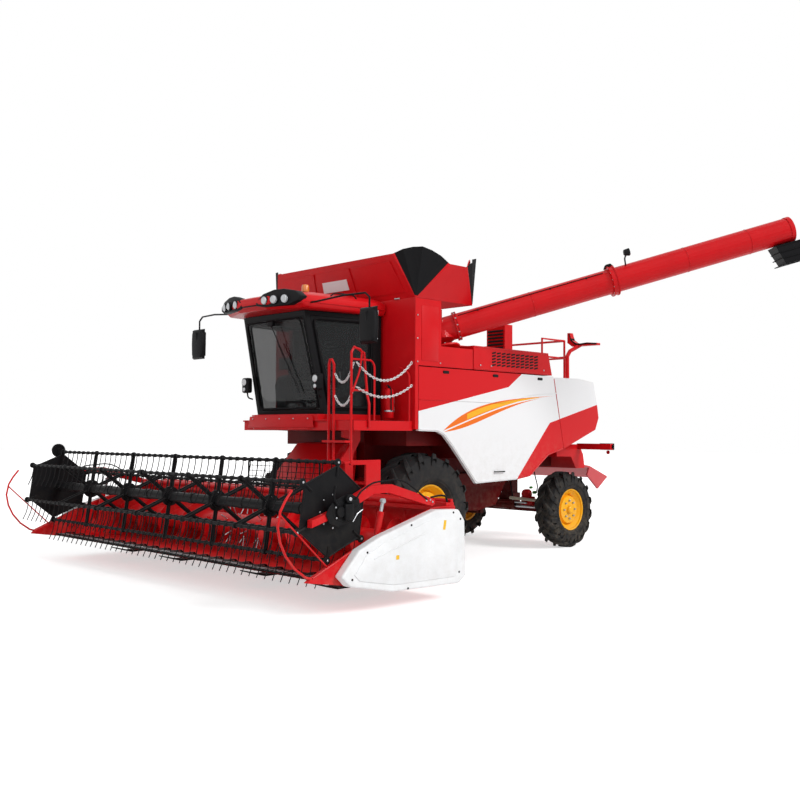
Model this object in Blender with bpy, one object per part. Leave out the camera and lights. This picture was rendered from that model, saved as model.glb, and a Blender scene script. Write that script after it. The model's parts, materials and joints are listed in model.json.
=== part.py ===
"""Combine harvester with a six-bar reel header, swinging unloading auger and steered rear axle.

Metres, +Z up, +X forward to the header, +Y to the machine's left. Shapes are written about the
point on the ground under the drive axle; one root empty then moves the whole machine so that
the frame's origin is the middle of its footprint.
"""
import bmesh
import bpy
from math import atan2, cos, hypot, pi, radians, sin
from mathutils import Matrix, Vector

GAP = 0.0003            # left between pieces that touch
RUNNING = 0.006         # left between pieces that move past each other

# The footprint's middle, seen from the ground point under the drive axle
ORIGIN_X, ORIGIN_Y = -0.5685, 0.8597

# Wheels: centre and size of each pair, tyre by tyre
WHEELBASE = 3.59
DRIVE_RADIUS, DRIVE_WIDTH, DRIVE_RIM, DRIVE_Y = 0.81, 0.58, 0.355, 1.225
STEER_RADIUS, STEER_WIDTH, STEER_RIM, STEER_Y = 0.6325, 0.378, 0.3275, 1.16
KINGPIN_Y = 0.86
STEER_ARM = 0.22        # kingpin to steering rod, forwards

# Body
BODY_Y = 1.55           # outer face of the side panels and tank
TANK_FRONT, TANK_REAR, TANK_TOP = 0.42, -0.78, 3.755
SEAM_Z = 2.82           # side panels end here, tank and engine deck begin
DECK_TOP = 3.18         # engine deck
HOOD_TOP = 2.80
SHEET = 0.03
PANEL = 0.05
RAIL_Y = (0.63, 0.75)   # chassis rail, inner and outer face
SHOE_Y = 0.62           # half width of the threshing body between the rails
FLOOR_Z = 1.93          # underside of the platform

# Cab
CAB_FLOOR, CAB_TOP = 2.15, 3.54
CAB_REAR, CAB_FRONT_LOW, CAB_FRONT_HIGH = 0.47, 1.36, 1.67
CAB_HALF_REAR, CAB_TAPER = 0.92, 0.195      # half width at the rear, and how it narrows per metre forward
CAB_WALL = 0.05

# Header
FEEDER_PIVOT = (0.62, 0.0, 1.62)
HEADER_HALF = 3.17      # inner face of the side sheets
SHIELD_Y = (3.2003, 3.325)
ARM_PIVOT = (1.86, 0.0, 1.115)
REEL_AXIS = (3.26, 0.0, 1.09)
REEL_RADIUS, REEL_HALF, REEL_BARS, REEL_PHASE = 0.505, 3.13, 6, 38.0
FEED_AXIS = (2.05, 0.0, 0.63)
FEED_RADIUS, FEED_TUBE, FEED_HALF = 0.30, 0.15, 3.05
KNIFE_X, KNIFE_Z = 3.22, 0.37

# Header lift cylinders: pin on the axle, eye under the feeder house
LIFT_PIN, LIFT_EYE, LIFT_Y = (0.27, 0.52), (1.04, 0.47), 0.42
# Reel lift cylinders: the line from the closed to the open eye
REEL_EYE_LOW, REEL_EYE_HIGH, REEL_EYE_Y = (2.50, 1.16), (2.446, 1.376), 3.085

# Unloading auger
AUGER_ELBOW = (-0.50, 1.16, 3.395)
AUGER_LINE = (-0.678, 0.678, 0.284)
AUGER_SWIVEL = (0.0, -0.314, 0.949)
AUGER_RADIUS, AUGER_LENGTH = 0.184, 5.36

RED = (0.62, 0.02, 0.02)
DARK_RED = (0.32, 0.01, 0.012)
WHITE = (0.80, 0.82, 0.83)
BLACK = (0.02, 0.02, 0.022)
GREY = (0.25, 0.26, 0.27)
STEEL = (0.55, 0.56, 0.58)
ORANGE = (0.95, 0.42, 0.01)
GLASS = (0.12, 0.14, 0.15)
TYRE = (0.025, 0.025, 0.026)


# ---------------------------------------------------------------- shapes
def hull(points):
    """The closed convex solid around a few corners."""
    bm = bmesh.new()
    for point in points:
        bm.verts.new(point)
    bmesh.ops.convex_hull(bm, input=bm.verts)
    bmesh.ops.dissolve_limit(bm, angle_limit=radians(0.1), verts=bm.verts, edges=bm.edges)
    bmesh.ops.recalc_face_normals(bm, faces=bm.faces)
    return bm


def block(low, high):
    return hull([(x, y, z) for x in (low[0], high[0]) for y in (low[1], high[1]) for z in (low[2], high[2])])


PLANES = {"X": lambda a, b, d: (d, a, b), "Y": lambda a, b, d: (a, d, b), "Z": lambda a, b, d: (a, b, d)}


def prism(outline, axis, start, end):
    """A flat outline pushed along X, Y or Z; its points are the two other coordinates."""
    bm = bmesh.new()
    place = PLANES[axis]
    face = bm.faces.new([bm.verts.new(place(a, b, start)) for a, b in outline])
    grown = bmesh.ops.extrude_face_region(bm, geom=[face])
    moved = [item for item in grown["geom"] if isinstance(item, bmesh.types.BMVert)]
    bmesh.ops.translate(bm, verts=moved, vec=Vector(place(0, 0, end)) - Vector(place(0, 0, start)))
    bmesh.ops.recalc_face_normals(bm, faces=bm.faces)
    return bm


def rod(start, end, radius, sides=12, end_radius=None):
    start, end = Vector(start), Vector(end)
    line = end - start
    turn = line.to_track_quat("Z", "Y").to_matrix().to_4x4()
    bm = bmesh.new()
    bmesh.ops.create_cone(bm, cap_ends=True, segments=sides, radius1=radius,
                          radius2=radius if end_radius is None else end_radius, depth=line.length,
                          matrix=Matrix.Translation((start + end) / 2) @ turn)
    return bm


def pipe(points, radius, resolution=2):
    """A bent tube: a poly curve with a round bevel and filled ends."""
    curve = bpy.data.curves.new("pipe", "CURVE")
    curve.dimensions = "3D"
    curve.bevel_depth = radius
    curve.bevel_resolution = resolution
    curve.use_fill_caps = True
    spline = curve.splines.new("POLY")
    spline.points.add(len(points) - 1)
    for knot, point in zip(spline.points, points):
        knot.co = (*point, 1.0)
    holder = bpy.data.objects.new("pipe", curve)
    mesh = bpy.data.meshes.new_from_object(holder)
    bm = bmesh.new()
    bm.from_mesh(mesh)
    bpy.data.objects.remove(holder)
    bmesh.ops.remove_doubles(bm, verts=bm.verts, dist=0.00001)
    bmesh.ops.recalc_face_normals(bm, faces=bm.faces)
    return bm


def turned(profile, centre, steps=32):
    """A closed ring, or a solid whose ends are on the axis, turned about Y. Profile: (radius, along)."""
    bm = bmesh.new()
    verts = [bm.verts.new((0.0, along, radius)) for radius, along in profile]
    pairs = list(zip(verts, verts[1:]))
    if profile[0][0] > 0:
        pairs.append((verts[-1], verts[0]))
    edges = [bm.edges.new(pair) for pair in pairs]
    bmesh.ops.spin(bm, geom=verts + edges, cent=(0, 0, 0), axis=(0, 1, 0), angle=2 * pi, steps=steps,
                   use_merge=True)
    bmesh.ops.remove_doubles(bm, verts=bm.verts, dist=0.00001)
    bmesh.ops.dissolve_degenerate(bm, edges=bm.edges, dist=0.00001)
    bmesh.ops.recalc_face_normals(bm, faces=bm.faces)
    bmesh.ops.translate(bm, verts=bm.verts, vec=centre)
    return bm


# ---------------------------------------------------------------- objects
PIVOTS, PLACES = {}, {}


def pivot(name, place, parent=None):
    """An empty on a joint's axis; what moves with the joint is parented to it."""
    empty = bpy.data.objects.new(name + "_pivot", None)
    bpy.context.collection.objects.link(empty)
    start = PLACES[parent] if parent else Vector((ORIGIN_X, ORIGIN_Y, 0.0))
    empty.parent = PIVOTS.get(parent)
    empty.location = Vector(place) - start
    PIVOTS[name], PLACES[name] = empty, Vector(place)


def link(name, bm, on):
    """A mesh object from a shape, measured from the pivot that carries it."""
    bmesh.ops.translate(bm, verts=bm.verts, vec=-PLACES[on])
    mesh = bpy.data.meshes.new(name)
    bm.to_mesh(mesh)
    bm.free()
    item = bpy.data.objects.new(name, mesh)
    item.parent = PIVOTS[on]
    bpy.context.collection.objects.link(item)
    return item


def helpers(name, shapes, on):
    group = bpy.data.collections.new(name)
    bpy.context.scene.collection.children.link(group)
    for shape in shapes:
        item = link(name, shape, on)
        bpy.context.collection.objects.unlink(item)
        group.objects.link(item)
        item.hide_render = True
        item.display_type = "WIRE"
    return group


def boolean(item, operation, shapes, on):
    change = item.modifiers.new(operation.lower(), "BOOLEAN")
    change.operation = operation
    change.operand_type = "COLLECTION"
    change.collection = helpers(f"{item.name}_{operation.lower()}", shapes, on)
    change.solver = "EXACT"


def piece(name, shapes, on="machine", colour=RED, rough=0.4, metal=0.0, cut=(), smooth=False):
    """One named solid: its shapes joined, its cuts taken away, in its own material."""
    shapes = list(shapes) if isinstance(shapes, (list, tuple)) else [shapes]
    item = link(name, shapes[0], on)
    if len(shapes) > 1:
        boolean(item, "UNION", shapes[1:], on)
    if cut:
        boolean(item, "DIFFERENCE", list(cut), on)
    material = bpy.data.materials.new(name)
    material.use_nodes = True
    shader = material.node_tree.nodes["Principled BSDF"]
    shader.inputs["Base Color"].default_value = (*colour, 1.0)
    shader.inputs["Roughness"].default_value = rough
    shader.inputs["Metallic"].default_value = metal
    item.data.materials.append(material)
    if smooth:
        item.data.shade_smooth()
        item.data.set_sharp_from_angle(angle=radians(30))
    return item


def mirrored(outline):
    return [(-a, b) for a, b in reversed(outline)]


# ---------------------------------------------------------------- wheels
def tyre_profile(radius, width, rim):
    """Section of a hollow tyre whose beads press out against the rim's flanges."""
    half, bead = width / 2, width * 0.36
    side = [(rim, bead), (rim + 0.025, bead), (rim + 0.08, half * 0.95), (radius * 0.90, half),
            (radius * 0.985, half * 0.80), (radius, half * 0.40)]
    liner = [(rim, bead - 0.04), (radius - 0.09, half * 0.60)]
    return side + [(r, -a) for r, a in reversed(side)] + [(r, -a) for r, a in liner] + list(reversed(liner))


def rim_profile(width, rim, side, disc):
    """Flanges, well and disc; disc is how far outboard of the middle the disc sits."""
    bead, well, wall = width * 0.36 + GAP, rim - 0.055, 0.014
    seat, lip = rim * cos(pi / 32) - GAP, rim + 0.016
    outside = [(lip, -bead - 0.014), (lip, -bead), (seat, -bead), (seat, -bead + 0.04), (well, -bead * 0.55)]
    back = [(0.0, disc - 0.02), (0.12, disc - 0.02), (0.13, disc - wall), (well - wall, disc - wall),
            (well - wall, -bead * 0.6), (seat - 0.025, -bead - 0.014)]
    front = [(seat - 0.025, bead + 0.014), (well - wall, bead * 0.6), (well - wall, disc + wall),
             (0.13, disc + wall), (0.11, disc + 0.05), (0.0, disc + 0.05)]
    rows = back + outside + [(r, -a) for r, a in reversed(outside)] + front
    return [(r, a * side) for r, a in rows]


def wheels():
    # name, centre x, centre y, radius, width, rim radius, disc offset, parent pivot
    rows = [("drive", 0.0, DRIVE_Y, DRIVE_RADIUS, DRIVE_WIDTH, DRIVE_RIM, 0.10, "machine"),
            ("steer", -WHEELBASE, STEER_Y, STEER_RADIUS, STEER_WIDTH, STEER_RIM, 0.06, "knuckle")]
    for kind, x, y, radius, width, rim, disc, parent in rows:
        for side, word in ((1, "left"), (-1, "right")):
            name = f"{kind}_wheel_{word}"
            centre = (x, y * side, radius)
            pivot(name, centre, parent if parent == "machine" else f"{parent}_{word}")
            piece(f"{kind}_tyre_{word}", turned(tyre_profile(radius, width, rim), centre, 32), name, TYRE, 0.85,
                  smooth=True)
            piece(f"{kind}_rim_{word}", turned(rim_profile(width, rim, side, disc), centre, 20), name, ORANGE, 0.35,
                  smooth=True)


def axles():
    beam = [block((-0.16, -0.66, 0.66), (0.16, 0.66, 0.96))]
    for side in (1, -1):
        ys = sorted((side * RAIL_Y[0], side * RAIL_Y[1]))
        beam.append(block((-0.12, ys[0], 0.90), (0.12, ys[1], 1.05 - GAP)))
        beam.append(rod((0, side * 0.64, DRIVE_RADIUS), (0, side * 0.80, DRIVE_RADIUS), 0.22, 20))
        beam.append(rod((0, side * 0.78, DRIVE_RADIUS), (0, side * 1.16, DRIVE_RADIUS), 0.26, 20, 0.24))
        beam.append(prism([(0.10, 0.70), (0.22, 0.58), (0.33, 0.55), (0.33, 0.49), (0.20, 0.48), (0.05, 0.62)], "Y",
                          side * (LIFT_Y + 0.05), side * (LIFT_Y + 0.08)))
        beam.append(prism([(0.10, 0.70), (0.22, 0.58), (0.33, 0.55), (0.33, 0.49), (0.20, 0.48), (0.05, 0.62)], "Y",
                          side * (LIFT_Y - 0.08), side * (LIFT_Y - 0.05)))
    piece("drive_axle", beam, colour=DARK_RED, smooth=True)

    rear_x, spindle_z = -WHEELBASE, STEER_RADIUS
    beam = [block((rear_x - 0.08, -0.735, 0.56), (rear_x + 0.08, 0.735, 0.675)),
            block((rear_x - 0.10, -0.16, 0.66), (rear_x + 0.10, 0.16, 0.86))]
    for side in (1, -1):
        ys = sorted((side * 0.70, side * 0.93))
        beam.append(block((rear_x - 0.07, ys[0], 0.78), (rear_x + 0.07, ys[1], 0.82)))
        beam.append(block((rear_x - 0.07, ys[0], 0.45), (rear_x + 0.07, ys[1], 0.49)))
        ys = sorted((side * 0.66, side * 0.74))
        beam.append(block((rear_x - 0.065, ys[0], 0.455), (rear_x + 0.01, ys[1], 0.815)))
    arm_x = rear_x + STEER_ARM
    for y in (-0.24, 0.16):
        beam.append(block((rear_x + 0.05, y, 0.60), (arm_x + 0.05, y + 0.08, 0.70)))
    beam.append(rod((arm_x, -0.30, 0.65), (arm_x, 0.30, 0.65), 0.055, 16))
    piece("rear_axle", beam, colour=DARK_RED,
          cut=[rod((arm_x, -0.5, 0.65), (arm_x, 0.5, 0.65), 0.0235, 12)])

    # Each knuckle turns on its kingpin and carries the spindle and a forward arm
    for side, word in ((1, "left"), (-1, "right")):
        pivot(f"knuckle_{word}", (rear_x, side * KINGPIN_Y, spindle_z), "machine")
        ys = sorted((side * (KINGPIN_Y - 0.055), side * (KINGPIN_Y + 0.055)))
        shapes = [block((rear_x - 0.055, ys[0], 0.49 + RUNNING), (rear_x + 0.055, ys[1], 0.78 - RUNNING)),
                  rod((rear_x, side * 0.90, spindle_z), (rear_x, side * 1.19, spindle_z), 0.075, 16, 0.06),
                  prism([(rear_x - 0.03, side * 0.89), (rear_x - 0.03, side * 0.835), (arm_x - 0.02, side * 0.765),
                         (arm_x + 0.04, side * 0.765), (arm_x + 0.04, side * 0.83), (rear_x + 0.05, side * 0.90)],
                        "Z", 0.69, 0.72)]
        piece(f"knuckle_{word}", shapes, f"knuckle_{word}", DARK_RED)

    # One rod runs right through the steering cylinder; its eyes sit under the two knuckle arms
    pivot("steering_rod", (arm_x, 0.0, 0.65), "machine")
    shapes = [rod((arm_x, -0.77, 0.65), (arm_x, 0.77, 0.65), 0.022, 12)]
    for side in (1, -1):
        shapes.append(rod((arm_x, side * 0.79, 0.63), (arm_x, side * 0.79, 0.675), 0.035, 12))
    piece("steering_rod", shapes, "steering_rod", STEEL, 0.25, 1.0)


# ---------------------------------------------------------------- body
def chassis():
    rail = [(0.60, 1.05), (0.60, 1.27), (-2.30, 1.27), (-2.80, 1.50), (-3.80, 1.50), (-3.80, 1.34), (-2.95, 1.34),
            (-2.45, 1.05)]
    shapes = [prism(rail, "Y", *RAIL_Y), prism(rail, "Y", -RAIL_Y[1], -RAIL_Y[0]),
              block((0.505, -0.70, 1.07), (0.55, 0.70, 1.25)),
              block((-3.74, -0.70, 1.345), (-3.44, 0.70, 1.495)),
              block((-3.67, -0.12, 0.86 + GAP), (-3.51, 0.12, 1.40))]
    piece("chassis_frame", shapes, colour=DARK_RED)


def threshing_body():
    lower = [(0.50, 1.0), (-0.45, 1.0), (-0.90, 0.72), (-2.0, 0.66), (-2.45, 0.74), (-2.80, 1.24), (-3.40, 1.32),
             (-3.40, 1.80), (0.50, 1.80)]
    upper = [(TANK_FRONT - 0.065, 1.72), (TANK_FRONT - 0.065, 2.10 - GAP), (-2.70, 2.10 - GAP), (-3.40, 1.90),
             (-3.40, 1.72), (-1.90, 1.72), (-1.50, 1.52), (-1.05, 1.52), (-0.80, 1.72)]
    slot = [(-2.95, 1.25), (-3.43, 1.25), (-3.43, 1.505), (-2.80, 1.505)]
    shapes = [prism(lower, "Y", -SHOE_Y, SHOE_Y), prism(upper, "Y", -1.32, 1.32),
              block((0.30, -SHOE_Y, 1.70), (0.50, SHOE_Y, 1.92))]
    piece("threshing_body", shapes, colour=RED, cut=[prism(slot, "Y", -1.0, 1.0)])


def grain_tank():
    top = TANK_TOP
    shapes = [block((TANK_REAR, -BODY_Y, SEAM_Z + 0.01), (TANK_FRONT - 0.02, BODY_Y, top)),
              block((TANK_REAR + 0.02, -1.42, 2.10), (TANK_FRONT - 0.02, 1.42, SEAM_Z + 0.02)),
              block((TANK_FRONT - 0.06, -BODY_Y, 1.95), (TANK_FRONT, BODY_Y, top))]
    rear, front = TANK_REAR + SHEET + 0.01, TANK_FRONT - 0.06
    main = [(-BODY_Y + SHEET, top + 0.1), (-BODY_Y + SHEET, 3.05), (-0.45, 2.18), (0.45, 2.18), (0.90, 2.60),
            (0.90, top + 0.1)]
    pocket = [(0.80, 3.15), (0.80, top + 0.1), (BODY_Y - SHEET, top + 0.1), (BODY_Y - SHEET, 3.15)]
    piece("grain_tank", shapes, colour=RED,
          cut=[prism(main, "X", rear, front), prism(pocket, "X", -0.06, front),
               block((TANK_REAR - 0.1, 0.94, 3.12), (-0.10, BODY_Y + 0.1, top + 0.1))])


def tank_extension():
    """Four leaning flaps round the tank's mouth, with a rubber fan in each corner."""
    low, wall = TANK_TOP + 0.008, 0.012
    front, rear, side = TANK_FRONT - 0.01, TANK_REAR + 0.01, BODY_Y - 0.01
    # corner x, outward x, front-edge end, side-edge end, fan top
    corners = [(front, 1.28, 0.60, 4.37, 0.0, 4.24, 4.43), (rear, 1.28, -1.03, 4.33, -0.36, 4.24, 4.42)]
    bm = bmesh.new()
    for side_sign in (1, -1):
        for x, end_y, end_x, end_z, side_x, side_z, fan_z in corners:
            apex = Vector((x, side * side_sign, low))
            first = Vector((end_x, end_y * side_sign, end_z))
            last = Vector((side_x, 1.80 * side_sign, side_z))
            middle = Vector(((end_x + side_x) / 2, 1.56 * side_sign, fan_z))
            arc = []
            for step in range(7):
                t = step / 6
                near = first.lerp(last, t)
                bulge = (middle - first.lerp(last, 0.5)) * sin(pi * t)
                arc.append(near + bulge)
            tip = bm.verts.new(apex)
            ring = [bm.verts.new(point) for point in arc]
            for one, two in zip(ring, ring[1:]):
                bm.faces.new((tip, one, two))
    # the four flaps join the fans' ends
    tall = Vector

    def vert(x, y, z):
        return bm.verts.new(tall((x, y, z)))
    f_x, f_z, r_x, r_z = 0.60, 4.37, -1.03, 4.33
    bm.faces.new((vert(front, side, low), vert(front, -side, low), vert(f_x, -1.28, f_z), vert(f_x, 1.28, f_z)))
    bm.faces.new((vert(rear, side, low), vert(rear, -side, low), vert(r_x, -1.28, r_z), vert(r_x, 1.28, r_z)))
    for sign in (1, -1):
        bm.faces.new((vert(front, side * sign, low), vert(rear, side * sign, low), vert(-0.36, 1.80 * sign, 4.24),
                      vert(0.0, 1.80 * sign, 4.24)))
    bmesh.ops.remove_doubles(bm, verts=bm.verts, dist=0.0001)
    bmesh.ops.recalc_face_normals(bm, faces=bm.faces)
    item = piece("tank_extension", bm, colour=RED)
    thick = item.modifiers.new("thickness", "SOLIDIFY")
    thick.thickness = wall
    thick.offset = 0.0


def engine_bay():
    outer = [(-0.80, SEAM_Z + 0.01), (-0.80, DECK_TOP), (-2.62, DECK_TOP), (-2.72, SEAM_Z + 0.01)]
    inner = [(-0.83, SEAM_Z - 0.1), (-0.83, DECK_TOP - SHEET), (-2.59, DECK_TOP - SHEET), (-2.69, SEAM_Z - 0.1)]
    piece("engine_deck", [prism(outer, "Y", -BODY_Y, BODY_Y), block((-2.58, 0.48, DECK_TOP - 0.02), (-2.38, 0.86, 3.68)),
                          rod((-2.30, -0.45, DECK_TOP - 0.02), (-2.30, -0.45, 3.62), 0.06, 16)],
          colour=RED, cut=[prism(inner, "Y", -BODY_Y + SHEET, BODY_Y - SHEET)], smooth=True)
    piece("engine", block((-2.35, -0.60, 2.10), (-1.05, 0.62, 3.10)), colour=GREY, rough=0.6)


def side_panels():
    panel = [(0.35, 1.93), (-0.03, 1.92), (-0.16, 1.87), (-0.34, 1.71), (-0.86, 1.17), (-1.84, 1.20), (-2.15, 1.24),
             (-2.63, 1.56), (-3.04, 1.65), (-2.755, SEAM_Z - 0.005), (0.35, SEAM_Z - 0.005)]
    for side, word in ((1, "left"), (-1, "right")):
        pivot(f"side_panel_{word}", (-1.2, side * BODY_Y, SEAM_Z - 0.005), "machine")
        ys = sorted((side * (BODY_Y - PANEL), side * BODY_Y))
        piece(f"side_panel_{word}", prism(panel, "Y", *ys), f"side_panel_{word}", WHITE)


def rear_hood():
    outer = [(-2.765, HOOD_TOP), (-3.45, HOOD_TOP + 0.01), (-3.90, 2.77), (-4.02, 2.37), (-4.06, 2.17), (-3.96, 1.97),
             (-3.05 - 0.01, 1.66)]
    inner = [(-2.60, HOOD_TOP - 0.035), (-3.45, HOOD_TOP - 0.025), (-3.885, 2.735), (-4.20, 2.735), (-4.30, 1.2),
             (-2.60, 1.2)]
    piece("rear_hood", prism(outer, "Y", -BODY_Y + 0.005, BODY_Y - 0.005), colour=RED, cut=[prism(inner, "Y", -BODY_Y + 0.04, BODY_Y - 0.04)])

    pivot("tailgate", (-3.90, 0.0, 2.72), "machine")
    door = [(-3.885, 2.725), (-3.925, 2.70), (-4.035, 2.37), (-4.075, 2.17), (-3.975, 1.96), (-3.935, 1.98),
            (-4.030, 2.18), (-3.99, 2.36)]
    piece("tailgate", prism(door, "Y", -BODY_Y + 0.046, BODY_Y - 0.046), "tailgate", WHITE)

    chute = [(-3.405, 1.72), (-3.405, 1.52), (-3.82, 1.51), (-3.96, 1.31), (-4.23, 1.31), (-4.18, 1.55), (-4.05, 1.72)]
    hollow = [(-3.50, 1.69), (-3.50, 1.55), (-3.84, 1.54), (-3.98, 1.34), (-4.40, 1.34), (-4.30, 1.69)]
    arms = []
    for side in (1, -1):
        ys = sorted((side * 1.13, side * 1.80))
        arms.append(block((-4.10, ys[0], 1.635), (-4.02, ys[1], 1.735)))
    piece("straw_chute", [prism(chute, "Y", -1.15, 1.15)] + arms, colour=RED, cut=[prism(hollow, "Y", -1.12, 1.12)])

    pivot("straw_deflector", (-4.27, 0.0, 1.36), "machine")
    plate = [(-4.25, 1.375), (-4.265, 1.345), (-4.60, 1.30), (-5.15, 1.10), (-5.16, 1.135), (-4.60, 1.335)]
    wing = [(-4.60, 1.325), (-4.53, 1.17), (-4.86, 0.92), (-5.155, 1.115)]
    shapes = [prism(plate, "Y", -1.0, 1.0)] + [prism(wing, "Y", *ys) for ys in ((0.97, 1.001), (-1.001, -0.97))]
    piece("straw_deflector", shapes, "straw_deflector", RED)


def rear_fittings():
    """Guard rail behind the engine and the saddle that holds the stowed auger."""
    rail_z, base = 3.50, HOOD_TOP + 0.012
    corners = [(-3.20, 1.00), (-3.84, 1.00), (-3.84, -0.95), (-3.20, -0.95)]
    shapes = [pipe([(*corners[0], base)] + [(x, y, rail_z) for x, y in corners] + [(*corners[3], base)], 0.019)]
    shapes += [pipe([(x, y, 3.20) for x, y in corners], 0.016)]
    shapes += [rod((x, y, base), (x, y, rail_z), 0.019, 8) for x, y in corners[1:3]]
    shapes.append(rod((-3.70, 0.99, 3.20), (-3.70, 1.16, 3.20), 0.02, 8))
    shapes.append(pipe([(-3.70, 1.16, base), (-3.70, 1.16, 3.22), (-3.75, 1.18, 3.31), (-3.95, 1.25, 3.42)], 0.034))
    saddle = [(1.02, 3.47), (1.02, 3.64), (1.07, 3.64), (1.10, 3.52), (1.19, 3.46), (1.283, 3.446), (1.42, 3.456),
              (1.62, 3.436), (1.62, 3.40), (1.42, 3.40), (1.12, 3.40)]
    shapes.append(prism(saddle, "X", -4.00, -3.90))
    piece("rear_rail", shapes, colour=RED)


# ---------------------------------------------------------------- cab
def cab_box(inset, low, high):
    """The cab's six-sided volume, drawn in by inset on every side."""
    def front(z):
        return CAB_FRONT_LOW + (CAB_FRONT_HIGH - CAB_FRONT_LOW) * (z - CAB_FLOOR) / (CAB_TOP - CAB_FLOOR)
    points = []
    for z in (low, high):
        for x in (front(z) - inset, CAB_REAR + inset):
            points += [(x, sign * (wall_y(x) - inset), z) for sign in (1, -1)]
    return hull(points)


DOOR = [(0.60, CAB_FLOOR + 0.05), (1.30, CAB_FLOOR + 0.05), (1.585, CAB_TOP - 0.06), (0.60, CAB_TOP - 0.06)]


def shrink(outline, by):
    """A convex outline drawn in towards its middle by roughly by metres a side."""
    a = sum(p[0] for p in outline) / len(outline)
    b = sum(p[1] for p in outline) / len(outline)
    return [(x - by * (1 if x > a else -1), z - by * (1 if z > b else -1)) for x, z in outline]


def wall_y(x):
    """Distance of the cab's upright side wall from the middle; the cab narrows towards its front."""
    return CAB_HALF_REAR - CAB_TAPER * (x - CAB_REAR)


def leaf(outline, inner, outer, sign):
    """A panel that follows the side wall, between two depths measured in from its outer face."""
    return hull([(x, sign * (wall_y(x) - depth), z) for x, z in outline for depth in (inner, outer)])


def cab():
    pane = [(-0.68, CAB_FLOOR + 0.06), (0.68, CAB_FLOOR + 0.06), (0.625, CAB_TOP - 0.08), (-0.625, CAB_TOP - 0.08)]
    cuts = [cab_box(CAB_WALL, CAB_FLOOR + CAB_WALL, CAB_TOP - CAB_WALL),
            prism(pane, "X", 1.2, 2.0), leaf(DOOR, -0.1, 0.3, 1), leaf(shrink(DOOR, 0.03), -0.1, 0.3, -1)]
    piece("cab_frame", cab_box(0.0, CAB_FLOOR, CAB_TOP), colour=BLACK, rough=0.35, cut=cuts)

    # glass panes sit inside their openings
    slope = (CAB_FRONT_HIGH - CAB_FRONT_LOW) / (CAB_TOP - CAB_FLOOR)
    glass = []
    for y, z in shrink(pane, 0.001):
        x = CAB_FRONT_LOW + slope * (z - CAB_FLOOR)
        glass += [(x - 0.012, y, z), (x - 0.020, y, z)]
    piece("windshield", hull(glass), colour=GLASS, rough=0.05)
    piece("side_glass", leaf(shrink(DOOR, 0.031), 0.012, 0.020, -1), colour=GLASS, rough=0.05)

    hinge_x = DOOR[-1][0]
    pivot("cab_door", (hinge_x, wall_y(hinge_x) + 0.004, CAB_FLOOR), "machine")
    outline = shrink(DOOR, 0.006)
    piece("cab_door", leaf(outline, 0.0, 0.045, 1), "cab_door", BLACK, 0.35,
          cut=[leaf(shrink(DOOR, 0.07), -0.1, 0.3, 1)])
    piece("door_glass", leaf(shrink(DOOR, 0.0703), 0.012, 0.020, 1), "cab_door", GLASS, 0.05)

    # height, rear x, rear half width, front corner x, its half width, nose x, its half width
    tiers = [(3.545, 0.44, 0.96, 1.80, 0.84, 2.00, 0.30), (3.62, 0.435, 1.00, 1.86, 0.88, 2.09, 0.34),
             (3.72, 0.44, 0.99, 1.84, 0.87, 2.06, 0.34), (3.78, 0.55, 0.86, 1.66, 0.74, 1.84, 0.28)]
    roof = [(x, side * half, tier[0]) for tier in tiers for x, half in zip(tier[1::2], tier[2::2]) for side in (1, -1)]
    item = piece("cab_roof", hull(roof), colour=RED)
    edge = item.modifiers.new("rounding", "BEVEL")
    edge.width = 0.03
    edge.segments = 2

    floor = CAB_FLOOR + CAB_WALL + GAP
    piece("seat", [block((0.62, -0.25, 2.52), (1.06, 0.25, 2.63)),
                   hull([(0.60, -0.25, 2.57), (0.60, 0.25, 2.57), (0.72, -0.25, 2.57), (0.72, 0.25, 2.57),
                         (0.54, -0.22, 3.22), (0.54, 0.22, 3.22), (0.63, -0.22, 3.22), (0.63, 0.22, 3.22)]),
                   block((0.66, -0.18, floor), (0.96, 0.18, 2.53))], colour=BLACK, rough=0.8)
    column = [block((1.14, -0.06, floor), (1.30, 0.06, floor + 0.12)),
              rod((1.22, 0, floor + 0.06), (1.155, 0, 2.86), 0.045, 12),
              rod((1.163, 0, 2.835), (1.153, 0, 2.865), 0.19, 20)]
    piece("steering_column", column, colour=BLACK, rough=0.5)


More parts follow.
